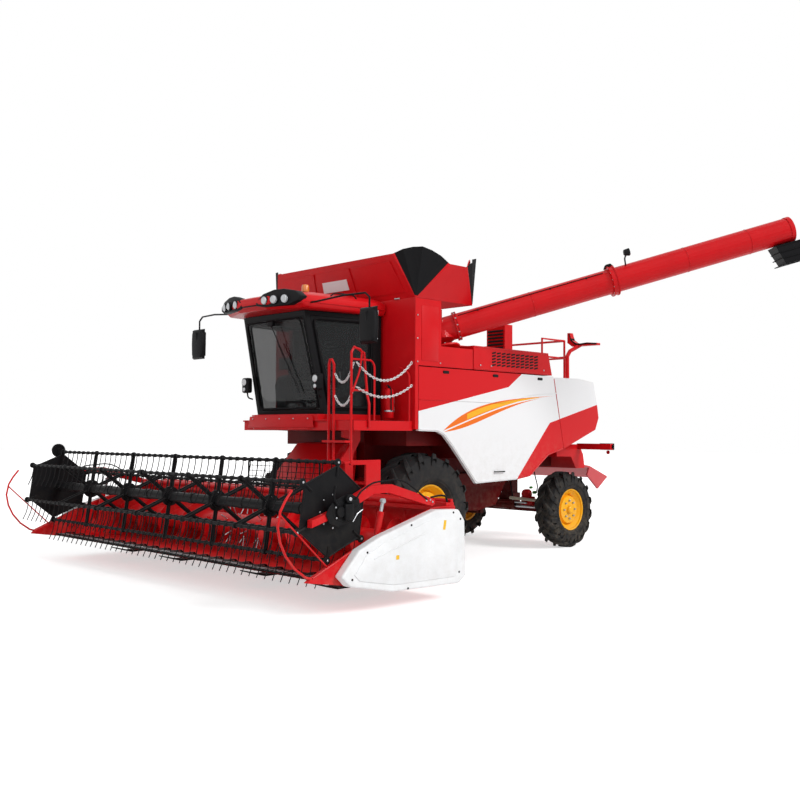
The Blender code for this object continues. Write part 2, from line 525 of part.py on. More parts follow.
def platform():
    front = 1.50
    nose = [(-0.76, 1.28), (-0.74, 1.47), (-0.60, 1.53), (0.60, 1.53), (0.74, 1.47), (0.76, 1.28)]
    shapes = [block((TANK_FRONT + GAP, -0.88, FLOOR_Z), (front, 1.50, 2.06)),
              prism([(x, y) for y, x in nose], "Z", FLOOR_Z + 0.01, CAB_FLOOR - GAP),
              block((TANK_FRONT + 0.05, -0.87, 2.05), (1.345, 0.92, CAB_FLOOR - GAP))]
    piece("platform", shapes, colour=RED)

    # the ladder: two tall rail loops carried on down as stringers, steps between, and its lower frame
    inner_y, outer_y, top, foot = 1.04, 1.48, 2.86, 1.50
    x = front + 0.03
    loops = [pipe([(x, inner_y, foot), (x, inner_y, top - 0.06), (x + 0.01, inner_y + 0.03, top),
                   (x + 0.01, inner_y + 0.07, top), (x, inner_y + 0.10, top - 0.06), (x, inner_y + 0.10, foot)], 0.017),
             pipe([(x, outer_y, foot), (x, outer_y, top + 0.08), (x - 0.05, outer_y, top + 0.15),
                   (x - 0.22, outer_y, top + 0.08), (x - 0.28, outer_y, 2.40), (x - 0.28, outer_y + 0.038, 2.28),
                   (x - 0.28, outer_y + 0.038, 1.97)], 0.017),
             rod((x - 0.26, outer_y, 2.45), (x, outer_y, 2.45), 0.014, 8)]
    steps = [block((x - 0.02, inner_y - 0.007, z), (x + 0.11, outer_y + 0.007, z + 0.03)) for z in (1.504, 1.77)]
    leg = [(0.98, FLOOR_Z - GAP), (1.30, FLOOR_Z - GAP), (1.30, 1.84), (1.12, 1.80), (1.32, 1.545), (1.54, 1.545),
           (1.54, 1.485), (1.25, 1.485), (1.25, 0.90), (1.11, 0.90), (1.11, 1.60), (0.98, 1.80)]
    outer = [(1.01, 0.84), (1.27, 0.84), (1.27, 1.485), (1.54, 1.485), (1.54, 1.545), (1.01, 1.545)]
    frame = [prism(leg, "Y", inner_y - 0.012, inner_y + 0.02),
             prism(outer, "Y", outer_y - 0.02, outer_y + 0.012)]
    lower = [block((1.03, inner_y - 0.005, z), (1.23, outer_y + 0.005, z + 0.03)) for z in (1.22, 0.93)]
    piece("ladder", steps + loops + frame + lower, colour=RED)


def mirrors():
    for side, word in ((1, "left"), (-1, "right")):
        root = (1.72, side * 0.8945, 3.62)
        arm = pipe([root, (1.72, side * 1.00, 3.62), (1.66, side * 1.45, 3.66), (1.62, side * 1.83, 3.66),
                    (1.62, side * 1.91, 3.60), (1.62, side * 1.91, 3.26)], 0.013)
        head = hull([(1.60 + dx, side * 1.91 + dy, 3.245 + dz) for dx, grow in ((0.02, 0.02), (0.06, 0.0))
                     for dy in (-0.13 - grow, 0.13 + grow) for dz in (-0.21 - grow, 0.21 + grow)])
        piece(f"mirror_{word}", [head, arm], colour=BLACK, rough=0.35)


# ---------------------------------------------------------------- unloading auger
def unloading_auger():
    elbow, line, swivel = Vector(AUGER_ELBOW), Vector(AUGER_LINE).normalized(), Vector(AUGER_SWIVEL).normalized()
    pivot("unloading_auger", elbow, "machine")
    tip = elbow + line * AUGER_LENGTH
    shapes = [rod(elbow - line * 0.12, tip, AUGER_RADIUS, 24),
              rod(elbow - swivel * 0.165, elbow + swivel * 0.10, 0.18, 24),
              rod(elbow + line * 0.235, elbow + line * 0.27, 0.20, 24),
              rod(elbow + line * 2.60, elbow + line * 2.68, 0.215, 24)]
    piece("unloading_auger", shapes, "unloading_auger", RED, 0.3, smooth=True)

    # rubber spout under the tube's end, open at the bottom
    across = line.cross(Vector((0, 0, 1))).normalized()
    down = line.cross(across).normalized()
    if down.z > 0:
        down = -down

    def corner(along, side, drop):
        return elbow + line * along + across * side + down * drop
    top, mouth = AUGER_RADIUS + 0.006, AUGER_RADIUS + 0.30
    outer = hull([corner(5.02, s, top) for s in (-0.15, 0.15)] + [corner(5.42, s, top) for s in (-0.15, 0.15)]
                 + [corner(5.10, s, mouth) for s in (-0.14, 0.14)] + [corner(5.44, s, mouth) for s in (-0.14, 0.14)])
    inner = hull([corner(5.06, s, top + 0.03) for s in (-0.12, 0.12)]
                 + [corner(5.40, s, top + 0.03) for s in (-0.12, 0.12)]
                 + [corner(5.13, s, mouth + 0.02) for s in (-0.115, 0.115)]
                 + [corner(5.41, s, mouth + 0.02) for s in (-0.115, 0.115)])
    piece("unloading_spout", outer, "unloading_auger", BLACK, 0.8, cut=[inner])


# ---------------------------------------------------------------- header
SIDE_SHEET = [(1.45, 0.22), (1.45, 1.05), (1.83, 1.05), (2.64, 0.82), (3.05, 0.67), (3.60, 0.44), (3.64, 0.40),
              (3.15, 0.33), (2.67, 0.25)]


def header():
    pivot("header", FEEDER_PIVOT, "machine")
    feeder = [(0.56, 1.76), (0.80, 1.74), (1.445, 1.04), (1.445, 0.30), (1.32, 0.28), (0.66, 1.02), (0.60, 1.22),
              (0.56, 1.50)]
    shapes = [prism(feeder, "Y", -0.52, 0.52)]
    bracket = [(LIFT_EYE[0] - 0.12, 0.76), (LIFT_EYE[0] + 0.12, 0.50), (LIFT_EYE[0] + 0.05, 0.42),
               (LIFT_EYE[0] - 0.05, 0.42)]
    for side in (1, -1):
        for y in (LIFT_Y - 0.07, LIFT_Y + 0.045):
            shapes.append(prism(bracket, "Y", side * y, side * (y + 0.025)))
    throat = block((1.26, -0.46, 0.42), (1.50, 0.46, 0.90))
    piece("feeder_house", shapes, "header", RED, cut=[throat])

    half, outside = HEADER_HALF, HEADER_HALF + SHEET
    floor = [(1.45, 0.22), (1.45, 1.10), (1.58, 1.10), (1.58, 1.00), (1.48, 1.00), (1.48, 0.30), (1.60, 0.26),
             (2.67, 0.285), (3.14, 0.345), (3.16, 0.32), (2.67, 0.25), (1.60, 0.225)]
    shapes = [prism(floor, "Y", -half - 0.01, half + 0.01)]
    base, tip = Vector((REEL_EYE_LOW[0], 0, REEL_EYE_LOW[1])), Vector((REEL_EYE_HIGH[0], 0, REEL_EYE_HIGH[1]))
    rise = (tip - base).normalized()
    for side in (1, -1):
        ys = sorted((side * half, side * outside))
        shapes.append(prism(SIDE_SHEET, "Y", *ys))
        bow = [(3.53, 0.42), (3.66, 0.46), (3.80, 0.56), (3.91, 0.69), (3.98, 0.83), (4.01, 0.98), (3.98, 1.13), (3.92, 1.23),
               (3.84, 1.33)]
        shapes.append(pipe([(x, side * 3.186, z) for x, z in bow], 0.013))
        shapes.append(rod((3.985, side * 3.186, 1.10), (3.32, side * 3.186, 0.48), 0.009, 8))
        eye = Vector((0, side * REEL_EYE_Y, 0))
        shapes.append(rod(base + eye - rise * 0.54, base + eye - rise * 0.12, 0.036, 16))
        low = base - rise * 0.45
        ys = sorted((side * (REEL_EYE_Y + 0.02), side * (half + 0.01)))
        shapes.append(block((low.x - 0.03, ys[0], low.z - 0.03), (low.x + 0.03, ys[1], low.z + 0.03)))
    bores = [rod(base + Vector((0, side * REEL_EYE_Y, 0)) - rise * 0.50,
                 base + Vector((0, side * REEL_EYE_Y, 0)) - rise * 0.05, 0.0195, 12) for side in (1, -1)]
    piece("header_trough", shapes, "header", RED,
          cut=bores + [block((1.40, -0.48, 0.34), (1.52, 0.48, 0.94))])
    for side, word in ((1, "left"), (-1, "right")):
        ys = sorted((side * SHIELD_Y[0], side * SHIELD_Y[1]))
        cover = [(1.395, 0.27), (1.42, 0.90), (1.52, 1.03), (1.89, 1.045), (2.77, 0.805), (3.055, 0.69), (3.30, 0.435),
                 (3.18, 0.325), (2.57, 0.21), (1.51, 0.19)]
        item = piece(f"end_shield_{word}", prism(cover, "Y", *ys), "header", WHITE)
        edge = item.modifiers.new("rounding", "BEVEL")
        edge.width = 0.02
        edge.segments = 2

    pivot("knife", (KNIFE_X, 0.0, KNIFE_Z), "header")
    piece("knife_bar", block((KNIFE_X - 0.09, -3.09, KNIFE_Z - 0.006), (KNIFE_X + 0.07, 3.09, KNIFE_Z + 0.012)), "knife",
          GREY, 0.4, 1.0)

    pivot("feed_auger", FEED_AXIS, "header")
    core = [rod((FEED_AXIS[0], -FEED_HALF, FEED_AXIS[2]), (FEED_AXIS[0], FEED_HALF, FEED_AXIS[2]), FEED_TUBE, 20)]
    piece("feed_auger", core + flights(), "feed_auger", RED, smooth=True)


def flights():
    """The crop flights, one leaning disc for each turn, in opposite hands either side of the middle."""
    pitch, turns, lean, thick = 0.60, 4, 0.20, 0.014
    shapes = []
    for side in (1, -1):
        for turn in range(turns):
            middle = Vector((FEED_AXIS[0], side * (FEED_HALF - 0.12 - pitch * turn), FEED_AXIS[2]))
            across = Vector((side * lean, 1.0, 0.0)).normalized() * thick / 2
            shapes.append(rod(middle - across, middle + across, FEED_RADIUS, 20))
    return shapes


def lift_cylinders():
    pin, eye = Vector((LIFT_PIN[0], 0, LIFT_PIN[1])), Vector((LIFT_EYE[0], 0, LIFT_EYE[1]))
    line = (eye - pin).normalized()
    pivot("lift_barrels", pin, "machine")
    pivot("lift_rods", eye, "lift_barrels")
    for side, word in ((1, "left"), (-1, "right")):
        y = Vector((0, side * LIFT_Y, 0))
        start = pin + y
        barrel = [rod(start - line * 0.02, start + line * 0.60, 0.048, 16),
                  rod(start - Vector((0, 0.044, 0)), start + Vector((0, 0.044, 0)), 0.04, 12)]
        piece(f"lift_barrel_{word}", barrel, "lift_barrels", BLACK, 0.4,
              cut=[rod(start + line * 0.042, start + line * 0.70, 0.0295, 12)], smooth=True)
        end = eye + y
        piece(f"lift_rod_{word}", [rod(end - line * 0.64, end, 0.028, 12),
                                   rod(end - Vector((0, 0.038, 0)), end + Vector((0, 0.038, 0)), 0.036, 12)],
              "lift_rods", STEEL, 0.2, 1.0)


def reel():
    pivot("reel_arms", ARM_PIVOT, "header")
    arm = [(1.82, 1.095), (1.82, 1.15), (1.90, 1.175), (2.50, 1.345), (2.80, 1.345), (3.06, 1.235), (3.32, 1.15),
           (3.34, 1.05), (3.20, 1.03), (3.00, 1.15), (2.76, 1.255), (2.54, 1.255), (1.92, 1.09)]
    shapes = [rod((ARM_PIVOT[0], -3.22, ARM_PIVOT[2]), (ARM_PIVOT[0], 3.22, ARM_PIVOT[2]), 0.038, 12)]
    for side in (1, -1):
        ys = sorted((side * 3.155, side * 3.225))
        shapes.append(prism(arm, "Y", *ys))
        ys = sorted((side * 3.15, side * 3.222))
        shapes.append(prism([(3.28, 1.045), (3.28, 1.12), (3.61, 1.022), (3.61, 0.948)], "Y", *ys))
    piece("reel_arms", shapes, "reel_arms", RED)

    pivot("reel", REEL_AXIS, "reel_arms")
    x, z = REEL_AXIS[0], REEL_AXIS[2]
    corners = [(x + REEL_RADIUS * cos(radians(REEL_PHASE + 60 * n)), z + REEL_RADIUS * sin(radians(REEL_PHASE + 60 * n)))
               for n in range(REEL_BARS)]
    shapes = [rod((x, -REEL_HALF, z), (x, REEL_HALF, z), 0.06, 12)]
    plate = [(x + 0.94 * (a - x), z + 0.94 * (b - z)) for a, b in corners]
    for side in (1, -1):
        shapes.append(prism(plate, "Y", side * (REEL_HALF - 0.012), side * REEL_HALF))
    spiders = 5
    for n in range(spiders):
        y = (n - (spiders - 1) / 2) * 2 * REEL_HALF / (spiders + 1)
        for start in range(3):
            (a, b), (c, d) = plate[start], plate[start + 3]
            length = hypot(c - a, d - b)
            ax, az = (c - a) / length * 0.025, (d - b) / length * 0.025
            shapes.append(prism([(a - az, b + ax), (c - az, d + ax), (c + az, d - ax), (a + az, b - ax)], "Y",
                                y - 0.008, y + 0.008))
    piece("reel", shapes, "reel", BLACK, 0.4)

    # tine bars run just outside the plates' corners and keep their tines hanging as the reel turns
    for number, (a, b) in enumerate(corners, 1):
        pivot(f"tine_bar_{number}", (a, 0.0, b), "reel")
        piece(f"tine_bar_{number}", rod((a, -REEL_HALF + 0.01, b), (a, REEL_HALF - 0.01, b), 0.017, 8),
              f"tine_bar_{number}", BLACK, 0.4)

    base, tip = Vector((REEL_EYE_LOW[0], 0, REEL_EYE_LOW[1])), Vector((REEL_EYE_HIGH[0], 0, REEL_EYE_HIGH[1]))
    rise = (tip - base).normalized()
    pivot("reel_rods", base, "header")
    for side, word in ((1, "left"), (-1, "right")):
        eye = base + Vector((0, side * REEL_EYE_Y, 0))
        piece(f"reel_rod_{word}", [rod(eye - rise * 0.46, eye, 0.0185, 12),
                                   rod(eye - Vector((0, 0.02, 0)), eye + Vector((0, 0.02, 0)), 0.028, 12)],
              "reel_rods", STEEL, 0.2, 1.0)


def build():
    for item in list(bpy.data.objects):
        bpy.data.objects.remove(item)
    pivot("machine", (0.0, 0.0, 0.0))
    axles()
    wheels()
    chassis()
    threshing_body()
    grain_tank()
    tank_extension()
    engine_bay()
    side_panels()
    rear_hood()
    rear_fittings()
    cab()
    platform()
    mirrors()
    unloading_auger()
    header()
    lift_cylinders()
    reel()


build()
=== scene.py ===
"""Looks for a combine harvester: paint, rubber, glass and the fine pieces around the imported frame."""

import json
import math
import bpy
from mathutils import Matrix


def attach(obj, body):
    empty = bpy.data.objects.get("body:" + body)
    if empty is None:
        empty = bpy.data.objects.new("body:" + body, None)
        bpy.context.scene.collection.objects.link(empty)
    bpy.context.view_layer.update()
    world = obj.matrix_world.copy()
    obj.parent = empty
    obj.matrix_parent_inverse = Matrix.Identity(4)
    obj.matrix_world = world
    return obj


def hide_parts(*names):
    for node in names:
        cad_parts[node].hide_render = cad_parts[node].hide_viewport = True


bl_info = {
    "name": "Combine harvester looks",
    "version": (1, 0, 0),
    "blender": (4, 5, 0),
    "location": "3D View > Sidebar > Harvester",
    "description": "Adds finishes and fine pieces to a combine harvester frame",
    "category": "Object",
}

import bpy
from bpy.props import FloatProperty, FloatVectorProperty, IntProperty, PointerProperty
from mathutils import Matrix, Vector

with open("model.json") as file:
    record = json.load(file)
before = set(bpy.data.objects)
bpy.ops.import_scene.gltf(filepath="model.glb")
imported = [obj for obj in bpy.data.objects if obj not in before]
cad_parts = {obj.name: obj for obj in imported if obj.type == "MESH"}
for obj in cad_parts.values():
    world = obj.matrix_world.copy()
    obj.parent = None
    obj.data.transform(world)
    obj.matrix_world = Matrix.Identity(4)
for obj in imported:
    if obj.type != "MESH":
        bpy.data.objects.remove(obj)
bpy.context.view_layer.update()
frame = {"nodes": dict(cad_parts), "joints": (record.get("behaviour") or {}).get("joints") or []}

JOINTS = {joint["name"]: joint for joint in frame["joints"]}
NODES = frame["nodes"]

# Shapes are written about the ground point under the drive axle: +X forward, +Y to the machine's left.
HUB = Vector(JOINTS["drive_wheel_left"]["pos_m"])
DRIVE_Y = 1.225
TO_FRAME = Vector((HUB.x, HUB.y - DRIVE_Y, 0.0))


# ---------------------------------------------------------------- finishes
class Value:
    """A node's output that reads like a number."""

    def __init__(self, finish, socket):
        self.finish, self.socket = finish, socket

    def _math(self, operation, first, second=0.0):
        return self.finish.node("ShaderNodeMath", {"operation": operation}, {0: first, 1: second})

    def __add__(self, other):
        return self._math("ADD", self, other)

    def __radd__(self, other):
        return self._math("ADD", other, self)

    def __sub__(self, other):
        return self._math("SUBTRACT", self, other)

    def __rsub__(self, other):
        return self._math("SUBTRACT", other, self)

    def __mul__(self, other):
        return self._math("MULTIPLY", self, other)

    def __rmul__(self, other):
        return self._math("MULTIPLY", other, self)

    def __truediv__(self, other):
        return self._math("DIVIDE", self, other)

    def __rtruediv__(self, other):
        return self._math("DIVIDE", other, self)

    def __gt__(self, other):
        return self._math("GREATER_THAN", self, other)

    def __lt__(self, other):
        return self._math("LESS_THAN", self, other)

    def __abs__(self):
        return self._math("ABSOLUTE", self)

    def clamped(self):
        return self.finish.node("ShaderNodeClamp", {}, {"Value": self})


class Finish:
    """A procedural material: every node comes from node()."""

    def __init__(self, name, **constants):
        self.material = bpy.data.materials.new(name)
        self.material.use_nodes = True
        self.tree = self.material.node_tree
        self.shader = self.tree.nodes["Principled BSDF"]
        for socket, value in constants.items():
            self.shader.inputs[socket.replace("_", " ")].default_value = value

    def node(self, kind, settings, sockets, output=0):
        made = self.tree.nodes.new(kind)
        stops = settings.pop("stops", None)
        for key, value in settings.items():
            setattr(made, key, value)
        if stops:
            ramp = made.color_ramp
            for place, shade in stops[2:]:
                ramp.elements.new(place)
            for element, (place, shade) in zip(ramp.elements, sorted(stops)):
                element.position, element.color = place, shade
        for key, value in sockets.items():
            if isinstance(value, Value):
                self.tree.links.new(value.socket, made.inputs[key])
            else:
                made.inputs[key].default_value = value
        return Value(self, made.outputs[output])

    def place(self):
        """Object coordinates, measured from the ground point under the drive axle."""
        spot = self.node("ShaderNodeTexCoord", {}, {}, 3)
        return self.node("ShaderNodeMapping", {}, {"Vector": spot, "Location": tuple(-TO_FRAME)})

    def axis(self, place, index):
        return self.node("ShaderNodeSeparateXYZ", {}, {"Vector": place}, index)

    def noise(self, place, scale, detail=3.0, roughness=0.55):
        return self.node("ShaderNodeTexNoise", {}, {"Vector": place, "Scale": scale, "Detail": detail,
                                                    "Roughness": roughness})

    def ramp(self, value, low, high):
        return self.node("ShaderNodeMapRange", {}, {"Value": value, "From Min": low, "From Max": high})

    def mix(self, mask, first, second):
        return self.node("ShaderNodeMix", {"data_type": "RGBA"}, {0: mask, 6: first, 7: second}, 2)

    def bump(self, height, strength, distance, normal=None):
        sockets = {"Height": height, "Strength": strength, "Distance": distance}
        if normal is not None:
            sockets["Normal"] = normal
        return self.node("ShaderNodeBump", {}, sockets)

    def soft_edges(self, radius):
        return self.node("ShaderNodeBevel", {"samples": 4}, {"Radius": radius})

    def feed(self, **sockets):
        for name, value in sockets.items():
            self.tree.links.new(value.socket, self.shader.inputs[name.replace("_", " ")])
        return self.material


def shade(colour, factor):
    return (colour[0] * factor, colour[1] * factor, colour[2] * factor, 1.0)


DUST = (0.36, 0.30, 0.22, 1.0)


def paint(name, colour, roughness=0.34, coat=0.04, edge=0.004, dust=0.18, specular=0.16):
    """Sprayed enamel: slight orange peel, mottling, and dust that thickens towards the ground."""
    finish = Finish(name, Coat_Weight=coat, Coat_Roughness=0.08, Roughness=roughness,
                    Specular_IOR_Level=specular)
    place = finish.place()
    mottle = finish.noise(place, 2.6, 4.0)
    base = finish.mix(finish.ramp(mottle, 0.3, 0.7), shade(colour, 0.94), shade(colour, 1.04))
    grime = finish.noise(place, 9.0, 6.0, 0.7)
    height = finish.axis(place, 2)
    low = (1.0 - finish.ramp(height, 0.1, 1.5)) * dust + 0.06 * dust
    mask = (low * finish.ramp(grime, 0.42, 0.72)).clamped()
    peel = finish.noise(place, 240.0, 2.0)
    normal = finish.bump(peel, 0.05, 0.001, finish.soft_edges(edge))
    return finish.feed(Base_Color=finish.mix(mask, base, DUST),
                       Roughness=(roughness + 0.06 * mottle + 0.4 * mask).clamped(), Normal=normal)


# ---------------------------------------------------------------- stage
class HarvesterStage(bpy.types.PropertyGroup):
    lens: FloatProperty(name="Lens", description="Focal length of the camera", default=42.49, min=10.0,
                        unit="CAMERA")
    eye: FloatVectorProperty(name="Eye", description="Where the camera stands, from under the drive axle",
                             default=(9.657, 10.510, 1.897), size=3, subtype="TRANSLATION", unit="LENGTH")
    yaw: FloatProperty(name="Yaw", description="Turn of the view from straight backwards",
                       default=math.radians(45.05),
                       subtype="ANGLE", unit="ROTATION")
    pitch: FloatProperty(name="Pitch", description="How far the view looks up", default=math.radians(2.01),
                         subtype="ANGLE", unit="ROTATION")
    roll: FloatProperty(name="Roll", description="Tilt of the camera about its view",
                        default=math.radians(0.28),
                        subtype="ANGLE", unit="ROTATION")


class HARVESTER_OT_stage(bpy.types.Operator):
    """Set up the floor, the soft lights, the sky and the camera"""
    bl_idname = "harvester.stage"
    bl_label = "Stage"

    def execute(self, context):
        scene, look = context.scene, context.scene.harvester_stage
        scene.view_settings.view_transform = "Standard"
        deselect()
        bpy.ops.mesh.primitive_plane_add(size=160.0, location=TO_FRAME)
        floor = context.object
        floor.name = "studio_floor"
        finish = Finish("studio_floor", Roughness=0.9)
        finish.shader.inputs["Base Color"].default_value = (0.86, 0.86, 0.86, 1.0)
        tree, output = finish.tree, finish.tree.nodes["Material Output"]
        seen = self.seen(finish)
        glow = finish.node("ShaderNodeEmission", {}, {"Color": (1.0, 1.0, 1.0, 1.0), "Strength": 0.55})
        black = finish.node("ShaderNodeEmission", {}, {"Strength": 0.0})
        lit = finish.node("ShaderNodeMixShader", {}, {0: seen, 1: black, 2: glow})
        total = finish.node("ShaderNodeAddShader", {}, {0: Value(finish, finish.shader.outputs[0]), 1: lit})
        tree.links.new(total.socket, output.inputs["Surface"])
        floor.data.materials.append(finish.material)

        world = bpy.data.worlds.new("studio_sky")
        scene.world = world
        world.use_nodes = True
        nodes, links = world.node_tree.nodes, world.node_tree.links
        back = nodes["Background"]
        back.inputs["Color"].default_value = (1.0, 1.0, 1.0, 1.0)
        path = nodes.new("ShaderNodeLightPath")
        first, second = nodes.new("ShaderNodeMath"), nodes.new("ShaderNodeMath")
        first.operation = second.operation = "MAXIMUM"
        links.new(path.outputs["Is Camera Ray"], first.inputs[0])
        links.new(path.outputs["Is Glossy Ray"], first.inputs[1])
        links.new(first.outputs[0], second.inputs[0])
        links.new(path.outputs["Is Transmission Ray"], second.inputs[1])
        level = nodes.new("ShaderNodeMapRange")
        level.inputs["To Min"].default_value, level.inputs["To Max"].default_value = 0.40, 1.0
        links.new(second.outputs[0], level.inputs["Value"])
        links.new(level.outputs["Result"], back.inputs["Strength"])

        for name, turn, energy, spread in (("key_light", (0.98, 0.0, 3.39), 1.9, 0.35),
                                           ("fill_light", (0.93, 0.0, 1.95), 0.75, 1.2)):
            bpy.ops.object.light_add(type="SUN", location=(0.0, 0.0, 12.0), rotation=turn)
            lamp = context.object
            lamp.name, lamp.data.energy, lamp.data.angle = name, energy, spread

        ahead = Vector((-math.cos(look.yaw) * math.cos(look.pitch), -math.sin(look.yaw) * math.cos(look.pitch),
                        math.sin(look.pitch)))
        right = ahead.cross((0, 0, 1)).normalized()
        up = right.cross(ahead)
        c, s = math.cos(look.roll), math.sin(look.roll)
        turned = Matrix((c * right + s * up, c * up - s * right, -ahead)).transposed().to_4x4()
        turned.translation = Vector(look.eye) + TO_FRAME
        bpy.ops.object.camera_add()
        camera = context.object
        camera.name = "studio_camera"
        camera.matrix_world = turned
        camera.data.lens, camera.data.sensor_width = look.lens, 36.0
        camera.data.clip_end = 400.0
        scene.camera = camera
        return {"FINISHED"}

    def seen(self, finish):
        rays = finish.node("ShaderNodeLightPath", {}, {})
        outputs = rays.socket.node.outputs
        names = ("Is Camera Ray", "Is Glossy Ray", "Is Transmission Ray")
        camera, glossy, through = (Value(finish, outputs[name]) for name in names)
        return (camera + glossy + through).clamped()


# ---------------------------------------------------------------- modelling
def deselect():
    if bpy.context.object and bpy.context.object.mode != "OBJECT":
        bpy.ops.object.mode_set(mode="OBJECT")
    bpy.ops.object.select_all(action="DESELECT")


def pick(*pieces):
    deselect()
    for piece in pieces:
        piece.select_set(True)
    bpy.context.view_layer.objects.active = pieces[0]


def settle(piece):
    """Place, turn and size go into the mesh."""
    pick(piece)
    bpy.ops.object.transform_apply(location=True, rotation=True, scale=True)
    return piece


def bevelled(piece, width, segments=1, angle=0.5):
    """Rounds the edges that turn by more than angle."""
    pick(piece)
    edge = piece.modifiers.new("rounding", "BEVEL")
    edge.width, edge.segments, edge.angle_limit, edge.limit_method = width, segments, angle, "ANGLE"
    edge.use_clamp_overlap = True
    bpy.ops.object.modifier_apply(modifier=edge.name)
    return piece


def block(low, high, bevel=0.004, segments=1):
    """A box between two corners, its edges rounded."""
    deselect()
    middle = [(a + b) / 2 for a, b in zip(low, high)]
    bpy.ops.mesh.primitive_cube_add(size=1.0, location=middle, scale=[abs(b - a) for a, b in zip(low, high)])
    piece = settle(bpy.context.object)
    return bevelled(piece, bevel, segments) if bevel else piece


def drum(start, end, radius, sides=20, end_radius=None, bevel=0.0, segments=1):
    """A round bar, cone or disc from one point to another."""
    deselect()
    start, end = Vector(start), Vector(end)
    line = end - start
    turn = line.to_track_quat("Z", "Y").to_euler()
    bpy.ops.mesh.primitive_cone_add(vertices=sides, radius1=radius,
                                    radius2=radius if end_radius is None else end_radius,
                                    depth=line.length, location=(start + end) / 2, rotation=turn)
    piece = settle(bpy.context.object)
    return bevelled(piece, bevel, segments, 0.9) if bevel else piece


def plate(outline, axis, start, end, bevel=0.003, segments=1):
    """A flat outline extruded along an axis; its points are the two other coordinates."""
    deselect()
    bpy.ops.mesh.primitive_circle_add(vertices=len(outline), fill_type="NGON")
    piece = bpy.context.object
    put = {"X": lambda a, b: (start, a, b), "Y": lambda a, b: (a, start, b), "Z": lambda a, b: (a, b,
            start)}[axis]
    for vertex, point in zip(piece.data.vertices, outline):
        vertex.co = put(*point)
    piece.location, piece.rotation_euler = (0, 0, 0), (0, 0, 0)
    push = [0.0, 0.0, 0.0]
    push["XYZ".index(axis)] = end - start
    bpy.ops.object.mode_set(mode="EDIT")
    bpy.ops.mesh.select_all(action="SELECT")
    bpy.ops.mesh.extrude_region_move(TRANSFORM_OT_translate={"value": push})
    bpy.ops.mesh.select_all(action="SELECT")
    bpy.ops.mesh.normals_make_consistent(inside=False)
    bpy.ops.object.mode_set(mode="OBJECT")
    return bevelled(piece, bevel, segments) if bevel else piece


def turned(profile, centre, steps=48, axis="Y"):
    """A closed section of (radius, along) points spun about an axis through centre."""
    deselect()
    bpy.ops.mesh.primitive_circle_add(vertices=len(profile))
    piece = bpy.context.object
    put = {"X": lambda r, a: (a, 0.0, r), "Y": lambda r, a: (0.0, a, r), "Z": lambda r, a: (r, 0.0, a)}[axis]
    for vertex, (radius, along) in zip(piece.data.vertices, profile):
        vertex.co = put(radius, along)
    piece.location = (0, 0, 0)
    line = {"X": (1, 0, 0), "Y": (0, 1, 0), "Z": (0, 0, 1)}[axis]
    bpy.ops.object.mode_set(mode="EDIT")
    bpy.ops.mesh.select_all(action="SELECT")
    bpy.ops.mesh.spin(steps=steps, angle=2 * math.pi, center=(0, 0, 0), axis=line)
    bpy.ops.mesh.select_all(action="SELECT")
    bpy.ops.mesh.remove_doubles(threshold=0.00005)
    bpy.ops.mesh.normals_make_consistent(inside=False)
    bpy.ops.object.mode_set(mode="OBJECT")
    piece.location = centre
    return settle(piece)


def rounded(points, radius, steps=4, closed=False):
    """A path whose corners are turned into short arcs."""
    points = [Vector(point) for point in points]
    count = len(points)
    path = []
    for index, point in enumerate(points):
        if not closed and index in (0, count - 1):
            path.append(point)
            continue
        before, after = points[index - 1] - point, points[(index + 1) % count] - point
        cut = min(radius, before.length * 0.45, after.length * 0.45)
        first, last = point + before.normalized() * cut, point + after.normalized() * cut
        for step in range(steps + 1):
            t = step / steps
            path.append(first * (1 - t) ** 2 + point * 2 * t * (1 - t) + last * t * t)
    return path


def tube(points, radius, bend=0.05, resolution=2, closed=False):
    """A bent bar or pipe along a path, with filled ends."""
    deselect()
    bpy.ops.curve.primitive_nurbs_path_add(location=(0, 0, 0))
    piece = bpy.context.object
    line = piece.data
    line.splines.clear()
    path = rounded(points, bend, closed=closed) if bend else [Vector(point) for point in points]
    spline = line.splines.new("POLY")
    spline.points.add(len(path) - 1)
    for knot, point in zip(spline.points, path):
        knot.co = (*point, 1.0)
    spline.use_cyclic_u = closed
    line.bevel_depth, line.bevel_resolution, line.use_fill_caps = radius, resolution, True
    bpy.ops.object.convert(target="MESH")
    piece = bpy.context.object
    bpy.ops.object.mode_set(mode="EDIT")
    bpy.ops.mesh.select_all(action="SELECT")
    bpy.ops.mesh.remove_doubles(threshold=0.00002)
    bpy.ops.mesh.normals_make_consistent(inside=False)
    bpy.ops.object.mode_set(mode="OBJECT")
    return piece


def sheet_metal(rows, thickness, closed=False):
    """A bent sheet through a grid of points, row by row, given its thickness."""
    deselect()
    across, along = len(rows[0]), len(rows)
    bpy.ops.mesh.primitive_grid_add(x_subdivisions=across - 1, y_subdivisions=along - 1, size=1.0)
    piece = bpy.context.object
    spots = [Vector(point) for row in rows for point in row]
    for vertex, spot in zip(piece.data.vertices, spots):
        vertex.co = spot
    bpy.ops.object.mode_set(mode="EDIT")
    bpy.ops.mesh.select_all(action="SELECT")
    bpy.ops.mesh.remove_doubles(threshold=0.00005)
    bpy.ops.mesh.normals_make_consistent(inside=False)
    bpy.ops.object.mode_set(mode="OBJECT")
    thick = piece.modifiers.new("thickness", "SOLIDIFY")
    thick.thickness, thick.offset = thickness, 0.0
    bpy.ops.object.modifier_apply(modifier=thick.name)
    return piece


